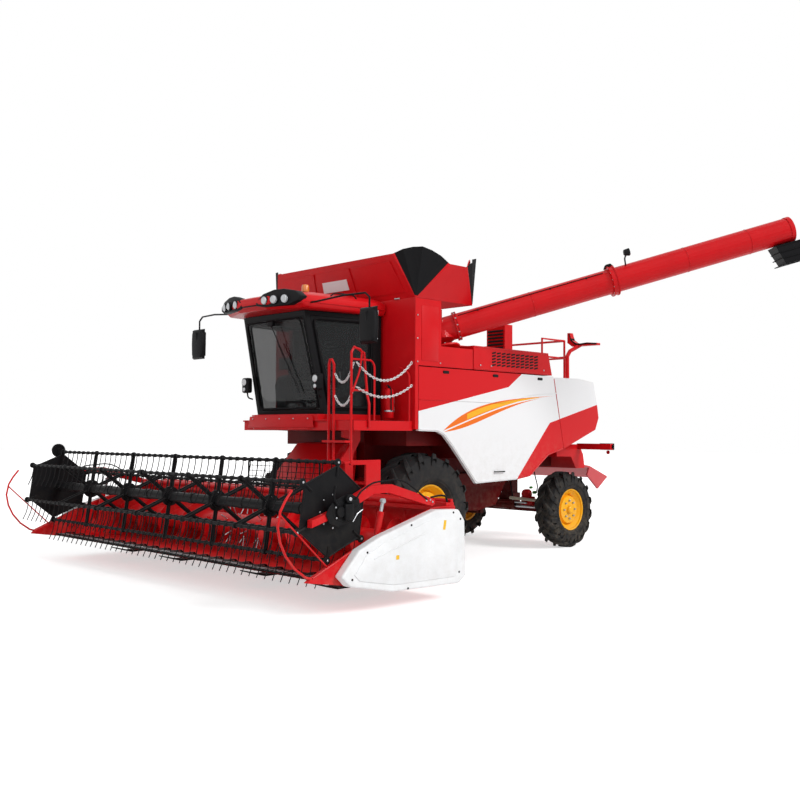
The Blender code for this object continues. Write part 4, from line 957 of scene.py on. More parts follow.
class HARVESTER_OT_header(bpy.types.Operator):
    """Add the knife guards, the auger's flights and fingers, the trough's ribs and the shields' folds"""
    bl_idname = "harvester.header"
    bl_label = "Header"

    def execute(self, context):
        look = context.scene.harvester_header
        self.knife(look)
        self.auger(look)
        self.trough()
        self.shields()
        return {"FINISHED"}

    def knife(self, look):
        guard = plate([(3.135, 0.3560), (3.25, 0.3555), (3.36, 0.366), (3.375, 0.372), (3.30, 0.3605), (3.135,
                0.3625)], "Y", -0.016, 0.016,
                      0.003)
        taper = guard.data
        for vertex in taper.vertices:
            reach = max(0.0, (vertex.co.x - 3.22) / 0.155)
            vertex.co.y *= 1.0 - 0.75 * min(1.0, reach)
        lip = plate([(3.285, 0.3850), (3.31, 0.3875), (3.345, 0.380), (3.315, 0.3842)], "Y", -0.009, 0.009,
                    0.001)
        count = look.guards
        places = [shift(0, -3.10 + 6.2 * (n + 0.5) / count, 0) for n in range(count)]
        joined("knife_guards", copies(guard, places) + copies(lip, places), "header", "black", 0.6)
        tooth = plate([(3.20, -0.036), (3.215, -0.034), (3.285, -0.006), (3.285, 0.006), (3.215, 0.034), (3.20,
                0.036)], "Z", 0.3825, 0.3845,
                      0.0005)
        places = [shift(0, -3.06 + 6.12 * (n + 0.5) / 80, 0) for n in range(80)]
        joined("knife_sections", copies(tooth, places), "knife", "steel", 0.6)

    def auger(self, look):
        centre, parts, steel = (2.05, 0.63), [], []
        tube_part = turned([(0.0005, -3.05), (0.150, -3.05), (0.150, 3.05), (0.0005, 3.05)], (centre[0], 0,
                centre[1]), 40)
        parts.append(tube_part)
        for sign in (1, -1):
            turns = 2.43 / look.auger_pitch
            start = -2.97 if sign < 0 else 0.54
            parts.append(helix(start, turns, look.auger_pitch, -sign, 0.4, 0.148, 0.298, centre))
            parts.append(turned([(0.0005, 2.985 * sign), (0.22, 2.985 * sign), (0.225, 2.992 * sign), (0.22,
                    2.998 * sign),
                                 (0.0005, 2.998 * sign)], (centre[0], 0, centre[1]), 32))
            for seam in (0.75, 1.7, 2.65):
                parts.append(turned([(0.1495, seam * sign - 0.01), (0.153, seam * sign - 0.004), (0.153,
                        seam * sign + 0.004),
                                     (0.1495, seam * sign + 0.01)], (centre[0], 0, centre[1]), 32))
        finger = tube([(0, 0, 0.145), (0, 0, 0.275)], 0.008, 0, 1)
        collar = drum((0, 0, 0.148), (0, 0, 0.162), 0.022, 10, 0.015, 0.002)
        places = []
        for row in range(8):
            for step in range(4):
                places.append(Matrix.Translation((centre[0], -0.42 + 0.12 * row, centre[1]))
                              @ Matrix.Rotation(math.radians(90 * step + 45 * (row % 2) + 12 * row), 4, "Y"))
        steel += copies(finger, places)
        parts += copies(collar, places)
        joined("feed_auger_flights", parts, "feed_auger", "red", 0.6, ("feed_auger",))
        joined("feed_auger_fingers", steel, "feed_auger", "steel")

    def trough(self):
        parts, black, steel = [], [], []
        rib = plate([(1.470, 0.98), (1.487, 0.96), (1.487, 0.42), (1.470, 0.40)], "Y", -0.018, 0.018, 0.004)
        places = [shift(0, y, 0) for y in (-2.9, -2.4, -1.9, -1.4, -0.9, 0.9, 1.4, 1.9, 2.4, 2.9)]
        parts += copies(rib, places)
        parts.append(tube([(1.462, -3.16, 1.115), (1.462, 3.16, 1.115)], 0.022, 0, 2))
        # wire guard that keeps crop off the feeder's opening
        frame_line = [(1.475, -0.80, 1.12), (1.475, -0.80, 1.50), (1.475, 0.80, 1.50), (1.475, 0.80, 1.12)]
        black.append(tube(frame_line, 0.014, 0.05, 1, closed=True))
        for n in range(1, 16):
            y = -0.80 + 0.1 * n
            black.append(tube([(1.475, y, 1.12), (1.475, y, 1.50)], 0.004, 0, 0))
        for n in range(1, 5):
            z = 1.12 + 0.076 * n
            black.append(tube([(1.475, -0.80, z), (1.475, 0.80, z)], 0.004, 0, 0))
        # dark wear strip behind the knife, and the knife's hold-down clips
        black.append(plate([(2.84, 0.318), (3.13, 0.3525), (3.13, 0.3575), (2.84, 0.323)], "Y", -3.13, 3.13,
                           0.002))
        clip = plate([(3.06, 0.360), (3.09, 0.402), (3.20, 0.402), (3.24, 0.388), (3.20, 0.394), (3.09, 0.392),
                      (3.075, 0.360)], "Y", -0.028,
                     0.028, 0.003)
        black += copies(clip, [shift(0, -2.95 + 0.295 * n, 0) for n in range(21)])
        # skid shoes and a stiffened lip in front of the floor
        parts.append(plate([(3.02, 0.318), (3.14, 0.352), (3.14, 0.362), (3.02, 0.345)], "Y", -3.16, 3.16,
                           0.003))
        for y in (-2.3, -0.95, 0.95, 2.3):
            black.append(plate([(1.75, 0.16), (1.85, 0.125), (2.55, 0.125), (2.78, 0.19), (2.78, 0.205), (2.53,
                    0.145), (1.87, 0.145),
                                (1.76, 0.18)], "Y", y - 0.11, y + 0.11, 0.004))
            for x in (1.95, 2.40):
                steel.append(drum((x, y, 0.112), (x, y, 0.127), 0.014, 8, bevel=0.002))
        joined("header_ribs", parts, "header", "red")
        joined("header_wire_guard", black, "header", "black")
        joined("header_shoe_bolts", steel, "header", "steel")

    def shields(self):
        white, red, black, yellow, hose = [], [], [], [], []
        for side in (1, -1):
            face = SHIELD_FACE * side
            # raised fold down the middle of each shield, rounded at its ends
            low = [(1.56, 0.30), (1.53, 0.86), (1.60, 0.955), (1.90, 0.965), (2.72, 0.735), (2.96, 0.635),
                   (3.13, 0.44), (3.06, 0.375),
                   (2.56, 0.285), (1.60, 0.275)]
            white.append(plate(low, "Y", face - 0.003 * side, face + 0.010 * side, 0.007, 2))
            crease = [(1.46, face + 0.004 * side, 0.80), (2.10, face + 0.012 * side, 0.80), (2.86,
                    face + 0.012 * side, 0.585)]
            white.append(tube([crease[1], crease[2]], 0.006, 0, 1))
            # red side wall's rolled edge behind the shield
            red.append(tube([(1.47, 3.205 * side, 1.055), (1.83, 3.205 * side, 1.055), (2.64, 3.205 * side,
                    0.825),
                             (3.05, 3.205 * side, 0.675), (3.58, 3.205 * side, 0.445)], 0.010, 0.1, 1))
            red.append(plate([(3.20, 0.33), (3.62, 0.395), (3.655, 0.40), (3.60, 0.44), (3.30, 0.56)], "Y",
                             3.145 * side, 3.172 * side, 0.006))
            for x, z in ((1.52, 0.32), (1.50, 0.92), (1.62, 1.0), (2.30, 0.90), (2.95, 0.66), (3.16, 0.40),
                         (2.35, 0.225)):
                black.append(drum((x, face - 0.002 * side, z), (x, face + 0.007 * side, z), 0.012, 8,
                                  bevel=0.002))
            yellow.append(plate([(2.495, 0.550), (2.540, 0.550), (2.540, 0.595), (2.495, 0.595)], "Y",
                                face + 0.0095 * side,
                                face + 0.0115 * side, 0.0))
            yellow.append(plate([(1.765, 0.815), (1.805, 0.820), (1.785, 0.925), (1.745, 0.920)], "Y",
                                face + 0.0095 * side,
                                face + 0.0115 * side, 0.0))
            hose.append(tube([(1.50, 3.12 * side, 1.10), (1.50, 3.10 * side, 1.17), (1.62, 3.12 * side, 1.185),
                              (1.80, 3.145 * side, 1.17)],
                             0.011, 0.08))
        joined("shield_folds", white, "header", "white", 0.5)
        joined("side_wall_rims", red, "header", "red")
        joined("shield_fasteners", black, "header", "plastic")
        joined("shield_labels", yellow, "header", "yellow")
        joined("header_hoses", hose, "header", "rubber")


# ---------------------------------------------------------------- cab
def ball(centre, size, sides=16):
    """A rounded lump, squashed to its three sizes."""
    deselect()
    bpy.ops.mesh.primitive_uv_sphere_add(segments=sides, ring_count=max(6, sides // 2), radius=1.0,
                                         location=centre, scale=size)
    return settle(bpy.context.object)


class HARVESTER_OT_cab(bpy.types.Operator):
    """Add the roof's lamps, the pillars' rubbers, the wiper, the mirrors' shells and the cab's inside"""
    bl_idname = "harvester.cab"
    bl_label = "Cab"

    def execute(self, context):
        self.roof()
        self.outside()
        self.mirrors()
        self.inside()
        return {"FINISHED"}

    def roof(self):
        pods, lenses, steel, red, amber = [], [], [], [], []
        for side in (1, -1):
            # a black visor that rises to a crest and sweeps back with the roof's corner
            visor = plate([(0.13, 3.655), (0.17, 3.595), (0.32, 3.572), (0.74, 3.580), (0.86, 3.625), (0.90,
                    3.690), (0.80, 3.765),
                           (0.62, 3.802), (0.46, 3.800), (0.28, 3.755)], "X", 1.955, 2.085, 0.016, 2)
            for vertex in visor.data.vertices:
                vertex.co.x -= 0.30 * max(0.0, vertex.co.y - 0.30) ** 1.25 + 0.22 * max(0.0, vertex.co.z - 3.62)
                vertex.co.y *= side
            if side < 0:
                visor.data.flip_normals()
            pods.append(visor)
            for x, y in ((2.068, 0.33), (2.050, 0.51), (2.000, 0.68)):
                turn = math.radians(8 if y < 0.4 else 20)
                face = Vector((math.cos(turn), math.sin(turn) * side, -0.10)).normalized()
                spot = Vector((x - 0.006, y * side, 3.660))
                pods.append(drum(spot - face * 0.02, spot + face * 0.016, 0.064, 24, 0.060, 0.004))
                steel.append(drum(spot + face * 0.010, spot + face * 0.0165, 0.052, 24, 0.054, 0.001))
                lenses.append(ball(spot + face * 0.014, (0.012, 0.047, 0.047), 20))
            # folded gutter along each side of the roof and a grab handle
            red.append(tube([(1.80, 0.875 * side, 3.628), (0.50, 1.002 * side, 3.628)], 0.010, 0, 1))
            pods.append(tube([(1.36, 0.86 * side, 3.742), (1.30, 0.87 * side, 3.79), (0.98, 0.90 * side, 3.79),
                              (0.92, 0.90 * side, 3.742)],
                             0.009, 0.03, 1))
        pods.append(plate([(2.07, -0.17), (2.085, -0.12), (2.085, 0.12), (2.07, 0.17)], "Z", 3.60, 3.615,
                          0.003))
        red.append(plate([(0.74, -0.52), (0.74, 0.52), (1.36, 0.46), (1.36, -0.46)], "Z", 3.776, 3.800, 0.012,
                         2))
        pods.append(plate([(0.80, -0.30), (0.80, 0.30), (1.12, 0.28), (1.12, -0.28)], "Z", 3.798, 3.808, 0.004))
        pods.append(drum((1.60, 0.62, 3.765), (1.60, 0.62, 3.795), 0.062, 24, 0.055, 0.004))
        amber.append(turned([(0.0005, 0.0), (0.050, 0.0), (0.052, 0.02), (0.050, 0.075), (0.040, 0.096),
                             (0.0005, 0.104)],
                            (1.60, 0.62, 3.795), 24, "Z"))
        joined("roof_lamp_pods", pods, "root", "plastic")
        joined("roof_lamp_rings", steel, "root", "steel")
        joined("roof_lamp_lenses", lenses, "root", "lens")
        joined("roof_gutters", red, "root", "red")
        joined("roof_beacon", amber, "root", "amber")

    def outside(self):
        black, rubber, steel, lenses, red, light = [], [], [], [], [], []
        # glazing rubber with rounded corners round the windshield
        def front(y, z, out=0.0):
            t = (z - 2.20) / 1.28
            return (1.36 + 0.31 * t + 0.012 + out, y, z)
        ring = [front(-0.66, 2.235), front(0.66, 2.235), front(0.605, 3.44), front(-0.605, 3.44)]
        rubber.append(tube(ring, 0.014, 0.10, 1, closed=True))
        for z, half in ((2.235, 0.66), (3.44, 0.605)):
            for sign in (1, -1):
                corner = [front(half * sign, z), front((half - 0.085) * sign, z), front((half - 0.022) * sign,
                        z + (0.022 if z < 3 else -0.022)),
                          front(half * sign, z + (0.085 if z < 3 else -0.085))]
                rubber.append(sheet_metal([[corner[0], corner[1]], [corner[3], corner[2]]], 0.004))
        # wiper: motor, arm, blade
        black.append(block(front(-0.06, 3.36, 0.01)[:1] + (-0.06, 3.37), (front(0.06, 3.45, 0.055)[0], 0.06,
                3.44), 0.01))
        black.append(tube([front(0.0, 3.40, 0.05), front(0.10, 3.10, 0.035), front(0.20, 2.78, 0.026)], 0.007,
                          0.05, 1))
        black.append(tube([front(0.06, 3.12, 0.02), front(0.34, 2.44, 0.02)], 0.009, 0, 1))
        # door frame's rubber and handle
        def wall(x, z, out=0.0):
            return (x, 0.92 - 0.195 * (x - 0.47) + out, z)
        door = [(0.64, 2.24), (1.285, 2.24), (1.545, 3.44), (0.64, 3.44)]
        leaf = [tube([wall(x, z, 0.020) for x, z in door], 0.012, 0.08, 1, closed=True),
                tube([wall(1.20, 2.52, 0.020), wall(1.20, 2.52, 0.055), wall(1.27, 2.74, 0.055), wall(1.27,
                        2.74, 0.020)], 0.010, 0.03, 1)]
        joined("door_rubber", leaf, "cab_door", "rubber", 0.5)
        # far side: the same rubber on the fixed pane
        rubber.append(tube([(x, -wall(x, z, 0.020)[1], z) for x, z in door], 0.012, 0.08, 1, closed=True))
        # work lamps low on both front corners, on bent arms
        for side in (1, -1):
            y = 0.80 * side
            black.append(tube([(1.44, 0.76 * side, 2.38), (1.50, y, 2.40), (1.52, y, 2.52)], 0.012, 0.04, 1))
            black.append(block((1.47, y - 0.075, 2.47), (1.565, y + 0.075, 2.69), 0.028, 3))
            for z, r in ((2.622, 0.052), (2.520, 0.032)):
                black.append(drum((1.560, y, z), (1.574, y, z), r + 0.010, 20, r + 0.007, 0.002))
                steel.append(drum((1.570, y, z), (1.577, y, z), r, 20, r - 0.004, 0.001))
                lenses.append(ball((1.573, y, z), (0.012, r - 0.004, r - 0.004), 20))
        # fascia under the windshield: folds and fasteners
        red.append(plate([(-0.74, 1.965), (0.74, 1.965), (0.70, 2.125), (-0.70, 2.125)], "X", 1.528, 1.540,
                         0.008, 2))
        red.append(tube([(1.515, -0.88, 2.062), (1.515, 0.98, 2.062)], 0.012, 0, 1))
        for y in (-0.62, -0.31, 0.0, 0.31, 0.62):
            steel.append(drum((1.538, y, 2.09), (1.548, y, 2.09), 0.011, 6, bevel=0.002))
        # fire extinguisher beside the door
        light.append(turned([(0.0005, 0.0), (0.058, 0.0), (0.066, 0.012), (0.066, 0.36), (0.055, 0.395), (0.026,
                0.415), (0.0005, 0.416)],
                            (0.575, 1.20, 2.10), 24, "Z"))
        black.append(drum((0.575, 1.20, 2.51), (0.575, 1.20, 2.545), 0.020, 12, bevel=0.003))
        black.append(tube([(0.575, 1.20, 2.54), (0.62, 1.22, 2.56), (0.66, 1.235, 2.54)], 0.008, 0.02, 1))
        black.append(tube([(0.575, 1.20, 2.53), (0.60, 1.27, 2.50), (0.61, 1.275, 2.30), (0.60, 1.27, 2.20)],
                          0.010, 0.04, 1))
        for z in (2.20, 2.40):
            steel.append(turned([(0.0665, -0.012), (0.0695, -0.012), (0.0695, 0.012), (0.0665, 0.012)], (0.575,
                    1.20, z), 24, "Z"))
        steel.append(block((0.50, 1.17, 2.18), (0.515, 1.23, 2.44), 0.003))
        joined("cab_rubbers", rubber, "root", "rubber", 0.5)
        joined("cab_fittings", black, "root", "plastic")
        joined("cab_bolts", steel, "root", "steel")
        joined("work_lamp_lenses", lenses, "root", "lens")
        joined("cab_fascia", red, "root", "red", 0.5)
        joined("extinguisher", light, "root", "red", 0.7)

    def mirrors(self):
        for side, word in SIDES:
            y = 1.91 * side
            shell = plate([(y - 0.10, 3.03), (y + 0.10, 3.03), (y + 0.138, 3.075), (y + 0.147, 3.25),
                           (y + 0.140, 3.415), (y + 0.105, 3.462),
                           (y - 0.105, 3.462), (y - 0.140, 3.415), (y - 0.147, 3.25), (y - 0.138,
                                   3.075)], "X", 1.585, 1.675, 0.034, 3)
            clamp = drum((1.655, y, 3.30), (1.675, y, 3.42), 0.022, 12, bevel=0.004)
            ribs = [plate([(y - 0.10, z), (y + 0.10, z), (y + 0.10, z + 0.014), (y - 0.10, z + 0.014)], "X",
                          1.655, 1.662, 0.003)
                    for z in (3.10, 3.16, 3.22)]
            joined(f"mirror_shell_{word}", [shell, clamp] + ribs, "root", "plastic", 0.6)
            face = plate([(y - 0.112, 3.065), (y + 0.112, 3.065), (y + 0.118, 3.425), (y - 0.118, 3.425)], "X",
                         1.579, 1.584, 0.0)
            joined(f"mirror_face_{word}", [face], "root", "mirror")

    def inside(self):
        black, steel = [], []
        wheel = tube([(1.158 - 0.06 * math.cos(a), 0.19 * math.sin(a), 2.86 + 0.18 * math.cos(a)) for a in
                      [2 * math.pi * n / 28 for n in range(28)]], 0.015, 0, 2, closed=True)
        black.append(wheel)
        for a in (math.pi / 2, math.pi * 1.16, math.pi * 1.84):
            black.append(tube([(1.158, 0, 2.86), (1.158 - 0.06 * math.cos(a), 0.19 * math.sin(a),
                                                  2.86 + 0.18 * math.cos(a))], 0.010, 0, 1))
        black.append(ball((1.165, 0, 2.86), (0.022, 0.05, 0.05), 16))
        # console with a screen and a lever to the right of the seat
        black.append(plate([(0.56, 2.22), (0.56, 2.70), (0.80, 2.78), (1.10, 2.72), (1.16, 2.60), (1.12, 2.22)],
                           "Y", -0.62, -0.38, 0.02, 2))
        black.append(block((1.06, -0.60, 2.82), (1.10, -0.36, 2.99), 0.008))
        black.append(tube([(0.98, -0.48, 2.72), (1.03, -0.48, 2.86), (1.04, -0.46, 2.93)], 0.012, 0.03, 1))
        black.append(ball((1.045, -0.46, 2.95), (0.03, 0.03, 0.045), 16))
        # seat's arm rests and suspension bellows
        for side in (1, -1):
            black.append(block((0.66, 0.285 * side - 0.035, 2.78), (1.00, 0.285 * side + 0.035, 2.835), 0.018,
                               2))
            steel.append(tube([(0.68, 0.285 * side, 2.78), (0.66, 0.285 * side, 2.66), (0.64, 0.262 * side,
                    2.62)], 0.011, 0.03, 1))
        bellows = [(0.0005, 0.0)] + [(0.15 + 0.02 * (n % 2), 0.02 + 0.03 * n) for n in range(9)] + [(0.0005,
                0.28)]
        black.append(turned(bellows, (0.84, 0, 2.225), 24, "Z"))
        joined("cab_controls", black, "root", "plastic")
        joined("seat_frame", steel, "root", "steel")


def cushion(name, low, high, crown, tilt=0.0, pivot=(0, 0, 0)):
    """A seat pad: a rounded block, remeshed and blown up as cloth, then smoothed."""
    size = [b - a for a, b in zip(low, high)]
    pad = block(low, high, min(size) * 0.30, 3)
    if tilt:
        pad.data.transform(about(pivot, tilt, "Y"))
    remesh = pad.modifiers.new("voxels", "REMESH")
    remesh.mode, remesh.voxel_size = "VOXEL", 0.006
    pick(pad)
    bpy.ops.object.modifier_apply(modifier=remesh.name)
    start = [vertex.co.copy() for vertex in pad.data.vertices]
    cloth = pad.modifiers.new("filling", "CLOTH")
    rules = cloth.settings
    rules.use_pressure, rules.uniform_pressure_force = True, 4.0
    rules.effector_weights.gravity = 0.0
    rules.quality = 4
    cloth.point_cache.frame_start, cloth.point_cache.frame_end = 1, 20
    scene = bpy.context.scene
    for step in range(1, 21):
        scene.frame_set(step)
    pick(pad)
    bpy.ops.object.modifier_apply(modifier=cloth.name)
    scene.frame_set(1)
    for vertex, before in zip(pad.data.vertices, start):
        move = vertex.co - before
        if move.length > crown:
            vertex.co = before + move.normalized() * crown
    return pad


class HARVESTER_OT_seat(bpy.types.Operator):
    """Add the driver's padded seat"""
    bl_idname = "harvester.seat"
    bl_label = "Driver's seat"

    def execute(self, context):
        lean = math.radians(-8)
        base = cushion("seat_pad", (0.64, -0.225, 2.535), (1.04, 0.225, 2.620), 0.016)
        back = cushion("back_pad", (0.585, -0.22, 2.66), (0.675, 0.22, 3.14), 0.016, lean, (0.63, 0, 2.66))
        rest = cushion("head_pad", (0.565, -0.13, 3.155), (0.635, 0.13, 3.245), 0.012, lean, (0.60, 0, 3.16))
        for number, (name, pad) in enumerate((("seat_pad", base), ("seat_back_pad", back), ("seat_head_pad",
                rest))):
            piece = joined(name, [pad], "root", "cloth", 3.2, ("seat",) if number == 0 else ())
            smooth = piece.modifiers.new("smooth", "SUBSURF")
            smooth.levels = smooth.render_levels = 1
            pick(piece)
            bpy.ops.object.modifier_apply(modifier=smooth.name)
        trim = []
        for y in (-0.12, 0.12):
            trim.append(tube([(0.66, y, 2.632), (0.84, y, 2.636), (1.02, y, 2.630)], 0.0035, 0.05, 0))
        pan = plate([(0.60, 2.50), (0.62, 2.535), (1.03, 2.535), (1.06, 2.505)], "Y", -0.24, 0.24, 0.008)
        post = [(0.545, 2.66), (0.575, 2.66), (0.505, 3.16), (0.485, 3.16)]
        shell = plate(post, "Y", -0.21, 0.21, 0.012, 2)
        joined("seat_piping", trim, "root", "cloth")
        joined("seat_shell", [pan, shell], "root", "plastic")
        return {"FINISHED"}


# ---------------------------------------------------------------- body
class HarvesterBody(bpy.types.PropertyGroup):
    chain_sag: FloatProperty(name="Chain sag", description="How far the safety chains hang below their ends",
                             default=0.25,
                             min=0.01, unit="LENGTH", subtype="DISTANCE")
    link: FloatProperty(name="Link", description="Length of one chain link", default=0.052, min=0.01,
                        unit="LENGTH",
                        subtype="DISTANCE")


def chain(start, end, sag, length, wire=0.004):
    """Oval links, every other one turned, along a line that sags between two points."""
    start, end = Vector(start), Vector(end)
    pitch = length - 2.6 * wire
    def spot(t):
        point = start.lerp(end, t)
        point.z -= sag * 4 * t * (1 - t)
        return point
    total = sum((spot((n + 1) / 40) - spot(n / 40)).length for n in range(40))
    count = max(3, round(total / pitch))
    half, wide = length / 2 - wire, wire * 2.1
    oval = [(half * 0.55, wide, 0), (half, wide * 0.6, 0), (half, -wide * 0.6, 0), (half * 0.55, -wide, 0),
            (-half * 0.55, -wide, 0), (-half, -wide * 0.6, 0), (-half, wide * 0.6, 0), (-half * 0.55, wide, 0)]
    link = tube(oval, wire, 0, 0, closed=True)
    places = []
    for n in range(count):
        a, b = spot(n / count), spot((n + 1) / count)
        turn = (b - a).to_track_quat("X", "Z").to_matrix().to_4x4()
        places.append(Matrix.Translation((a + b) / 2) @ turn @ Matrix.Rotation(math.radians(90 * (n % 2)), 4,
                "X"))
    return copies(link, places)


class HARVESTER_OT_rails(bpy.types.Operator):
    """Add the ladder's handrails, treads and safety chains"""
    bl_idname = "harvester.rails"
    bl_label = "Ladder, rails and chains"

    def execute(self, context):
        look = context.scene.harvester_body
        red, steel, chains, black = [], [], [], []
        # slanted second rail, handle and post on the outer loop
        red.append(tube([(1.53, 1.50, 2.42), (1.40, 1.50, 2.70), (1.36, 1.50, 2.98), (1.50, 1.50, 3.00)], 0.013,
                        0.08, 1))
        red.append(tube([(1.13, 1.49, 2.065), (1.13, 1.49, 2.78), (1.18, 1.49, 2.85), (1.53, 1.49, 2.85)],
                        0.014, 0.08, 1))
        # perforated treads: raised rims on every step
        for x0, x1, z in ((1.51, 1.64, 1.504), (1.51, 1.64, 1.770)):
            for n in range(6):
                y = 1.10 + 0.065 * n
                steel.append(plate([(x0 + 0.015, y - 0.020), (x0 + 0.02, y + 0.020), (x1 - 0.015, y + 0.020),
                                    (x1 - 0.015, y - 0.020)], "Z",
                                   z + 0.012, z + 0.018, 0.002))
        # deck's anti-slip strips and a bent rail
        for n in range(9):
            x = 0.52 + 0.10 * n
            black.append(plate([(x, 0.98), (x + 0.04, 0.98), (x + 0.04, 1.45), (x, 1.45)], "Z", 2.058, 2.066,
                               0.002))
        red.append(tube([(0.47, 1.485, 2.062), (0.47, 1.485, 2.72), (0.47, 1.30, 2.80)], 0.014, 0.08, 1))
        for start, middle, end, sag in ((2.683, 2.816, 2.871, 1.0), (2.395, 2.494, 2.553, 0.6)):
            chains += chain((1.52, 1.145, start), (1.49, 1.485, middle), look.chain_sag * 0.75, look.link,
                            0.006)
            chains += chain((1.46, 1.50, middle), (0.43, 1.50, end), look.chain_sag * sag, look.link, 0.006)
        joined("ladder_rails", red, "root", "red")
        # the step treads take the red darkened as painted shade
        joined("step_treads", steel, "root", "painted_shade_red")
        joined("deck_strips", black, "root", "rubber")
        joined("safety_chains", chains, "root", "white")
        return {"FINISHED"}


class HARVESTER_OT_tank(bpy.types.Operator):
    """Add the grain tank's flaps, rubber corners, ribs and blank plate"""
    bl_idname = "harvester.tank"
    bl_label = "Grain tank"

    def execute(self, context):
        red, rubber, steel, white = [], [], [], []
        # rolled rim along the tank's top and pressed ribs on its walls
        red.append(tube([(0.40, -1.535, 3.745), (0.40, 1.535, 3.745)], 0.014, 0, 1))
        for side in (1, -1):
            if side < 0:
                red.append(tube([(0.40, -1.540, 3.745), (-0.76, -1.540, 3.745)], 0.014, 0, 1))
            red.append(tube([(0.415, 1.545 * side, 3.74), (0.415, 1.545 * side, 2.84)], 0.010, 0, 1))
            red.append(plate([(-0.04, 2.90), (0.30, 2.90), (0.30, 3.66), (-0.04, 3.66)], "Y", 1.549 * side,
                             1.556 * side, 0.006, 2))
            for x, z in ((0.38, 2.88), (0.38, 3.20), (0.38, 3.52), (-0.08, 2.88)):
                steel.append(drum((x, 1.549 * side, z), (x, 1.560 * side, z), 0.011, 8, bevel=0.002))
        # front flap: a raised field with a blank plate on it
        def flap(y, t, out):
            # t runs up the front flap, from the hinge at the tank's rim to its free edge
            low, high = Vector((0.415, y, 3.775)), Vector((0.605, y * 0.84, 4.36))
            way = (high - low).normalized()
            normal = Vector((way.z, 0, -way.x))
            return low.lerp(high, t) + normal * out
        for a, b in ((-1.40, -0.50), (-0.42, 0.42), (0.50, 1.40)):
            rows = [[flap(a, 0.12, 0.010), flap((a + b) / 2, 0.12, 0.010), flap(b, 0.12, 0.010)],
                    [flap(a, 0.86, 0.010), flap((a + b) / 2, 0.86, 0.010), flap(b, 0.86, 0.010)]]
            red.append(sheet_metal(rows, 0.010))
        label = [[flap(-0.30, 0.36, 0.020), flap(0.30, 0.36, 0.020)], [flap(-0.30, 0.62, 0.020), flap(0.30,
                0.62, 0.020)]]
        white.append(sheet_metal(label, 0.003))
        # creased rubber fans between the flaps
        for end, ex, fx, top_x in ((1, 0.41, 0.60, 0.0), (-1, -0.77, -1.03, -0.36)):
            for side in (1, -1):
                foot = Vector((ex, 1.545 * side, 3.762))
                first, last = Vector((fx, 1.28 * side, 4.37 if end > 0 else 4.33)), Vector((top_x, 1.80 * side,
                        4.24))
                spots = []
                for n in range(7):
                    t = n / 6
                    point = first.lerp(last, t)
                    swell = math.sin(math.pi * t)
                    point += Vector((0.045 * end, 0.07 * side, 0.150)) * swell + Vector((0.018 * end,
                            0.018 * side, 0)) * (1 if n % 2 else -0.4)
                    spots.append(point)
                rows = [[foot.lerp(p, 0.04) for p in spots], [foot.lerp(p, 0.5) for p in spots], [foot.lerp(p,
                        1.0) for p in spots]]
                rubber.append(sheet_metal(rows, 0.007))
        # hinges along the flaps' roots
        for y in (-1.2, -0.6, 0.0, 0.6, 1.2):
            steel.append(drum((0.428, y - 0.05, 3.768), (0.428, y + 0.05, 3.768), 0.013, 10, bevel=0.003))
        joined("tank_ribs", red, "root", "red", 0.5)
        joined("tank_rubber_corners", rubber, "root", "rubber", 0.4)
        joined("tank_hinges", steel, "root", "steel")
        joined("tank_blank_plate", white, "root", "white")
        return {"FINISHED"}


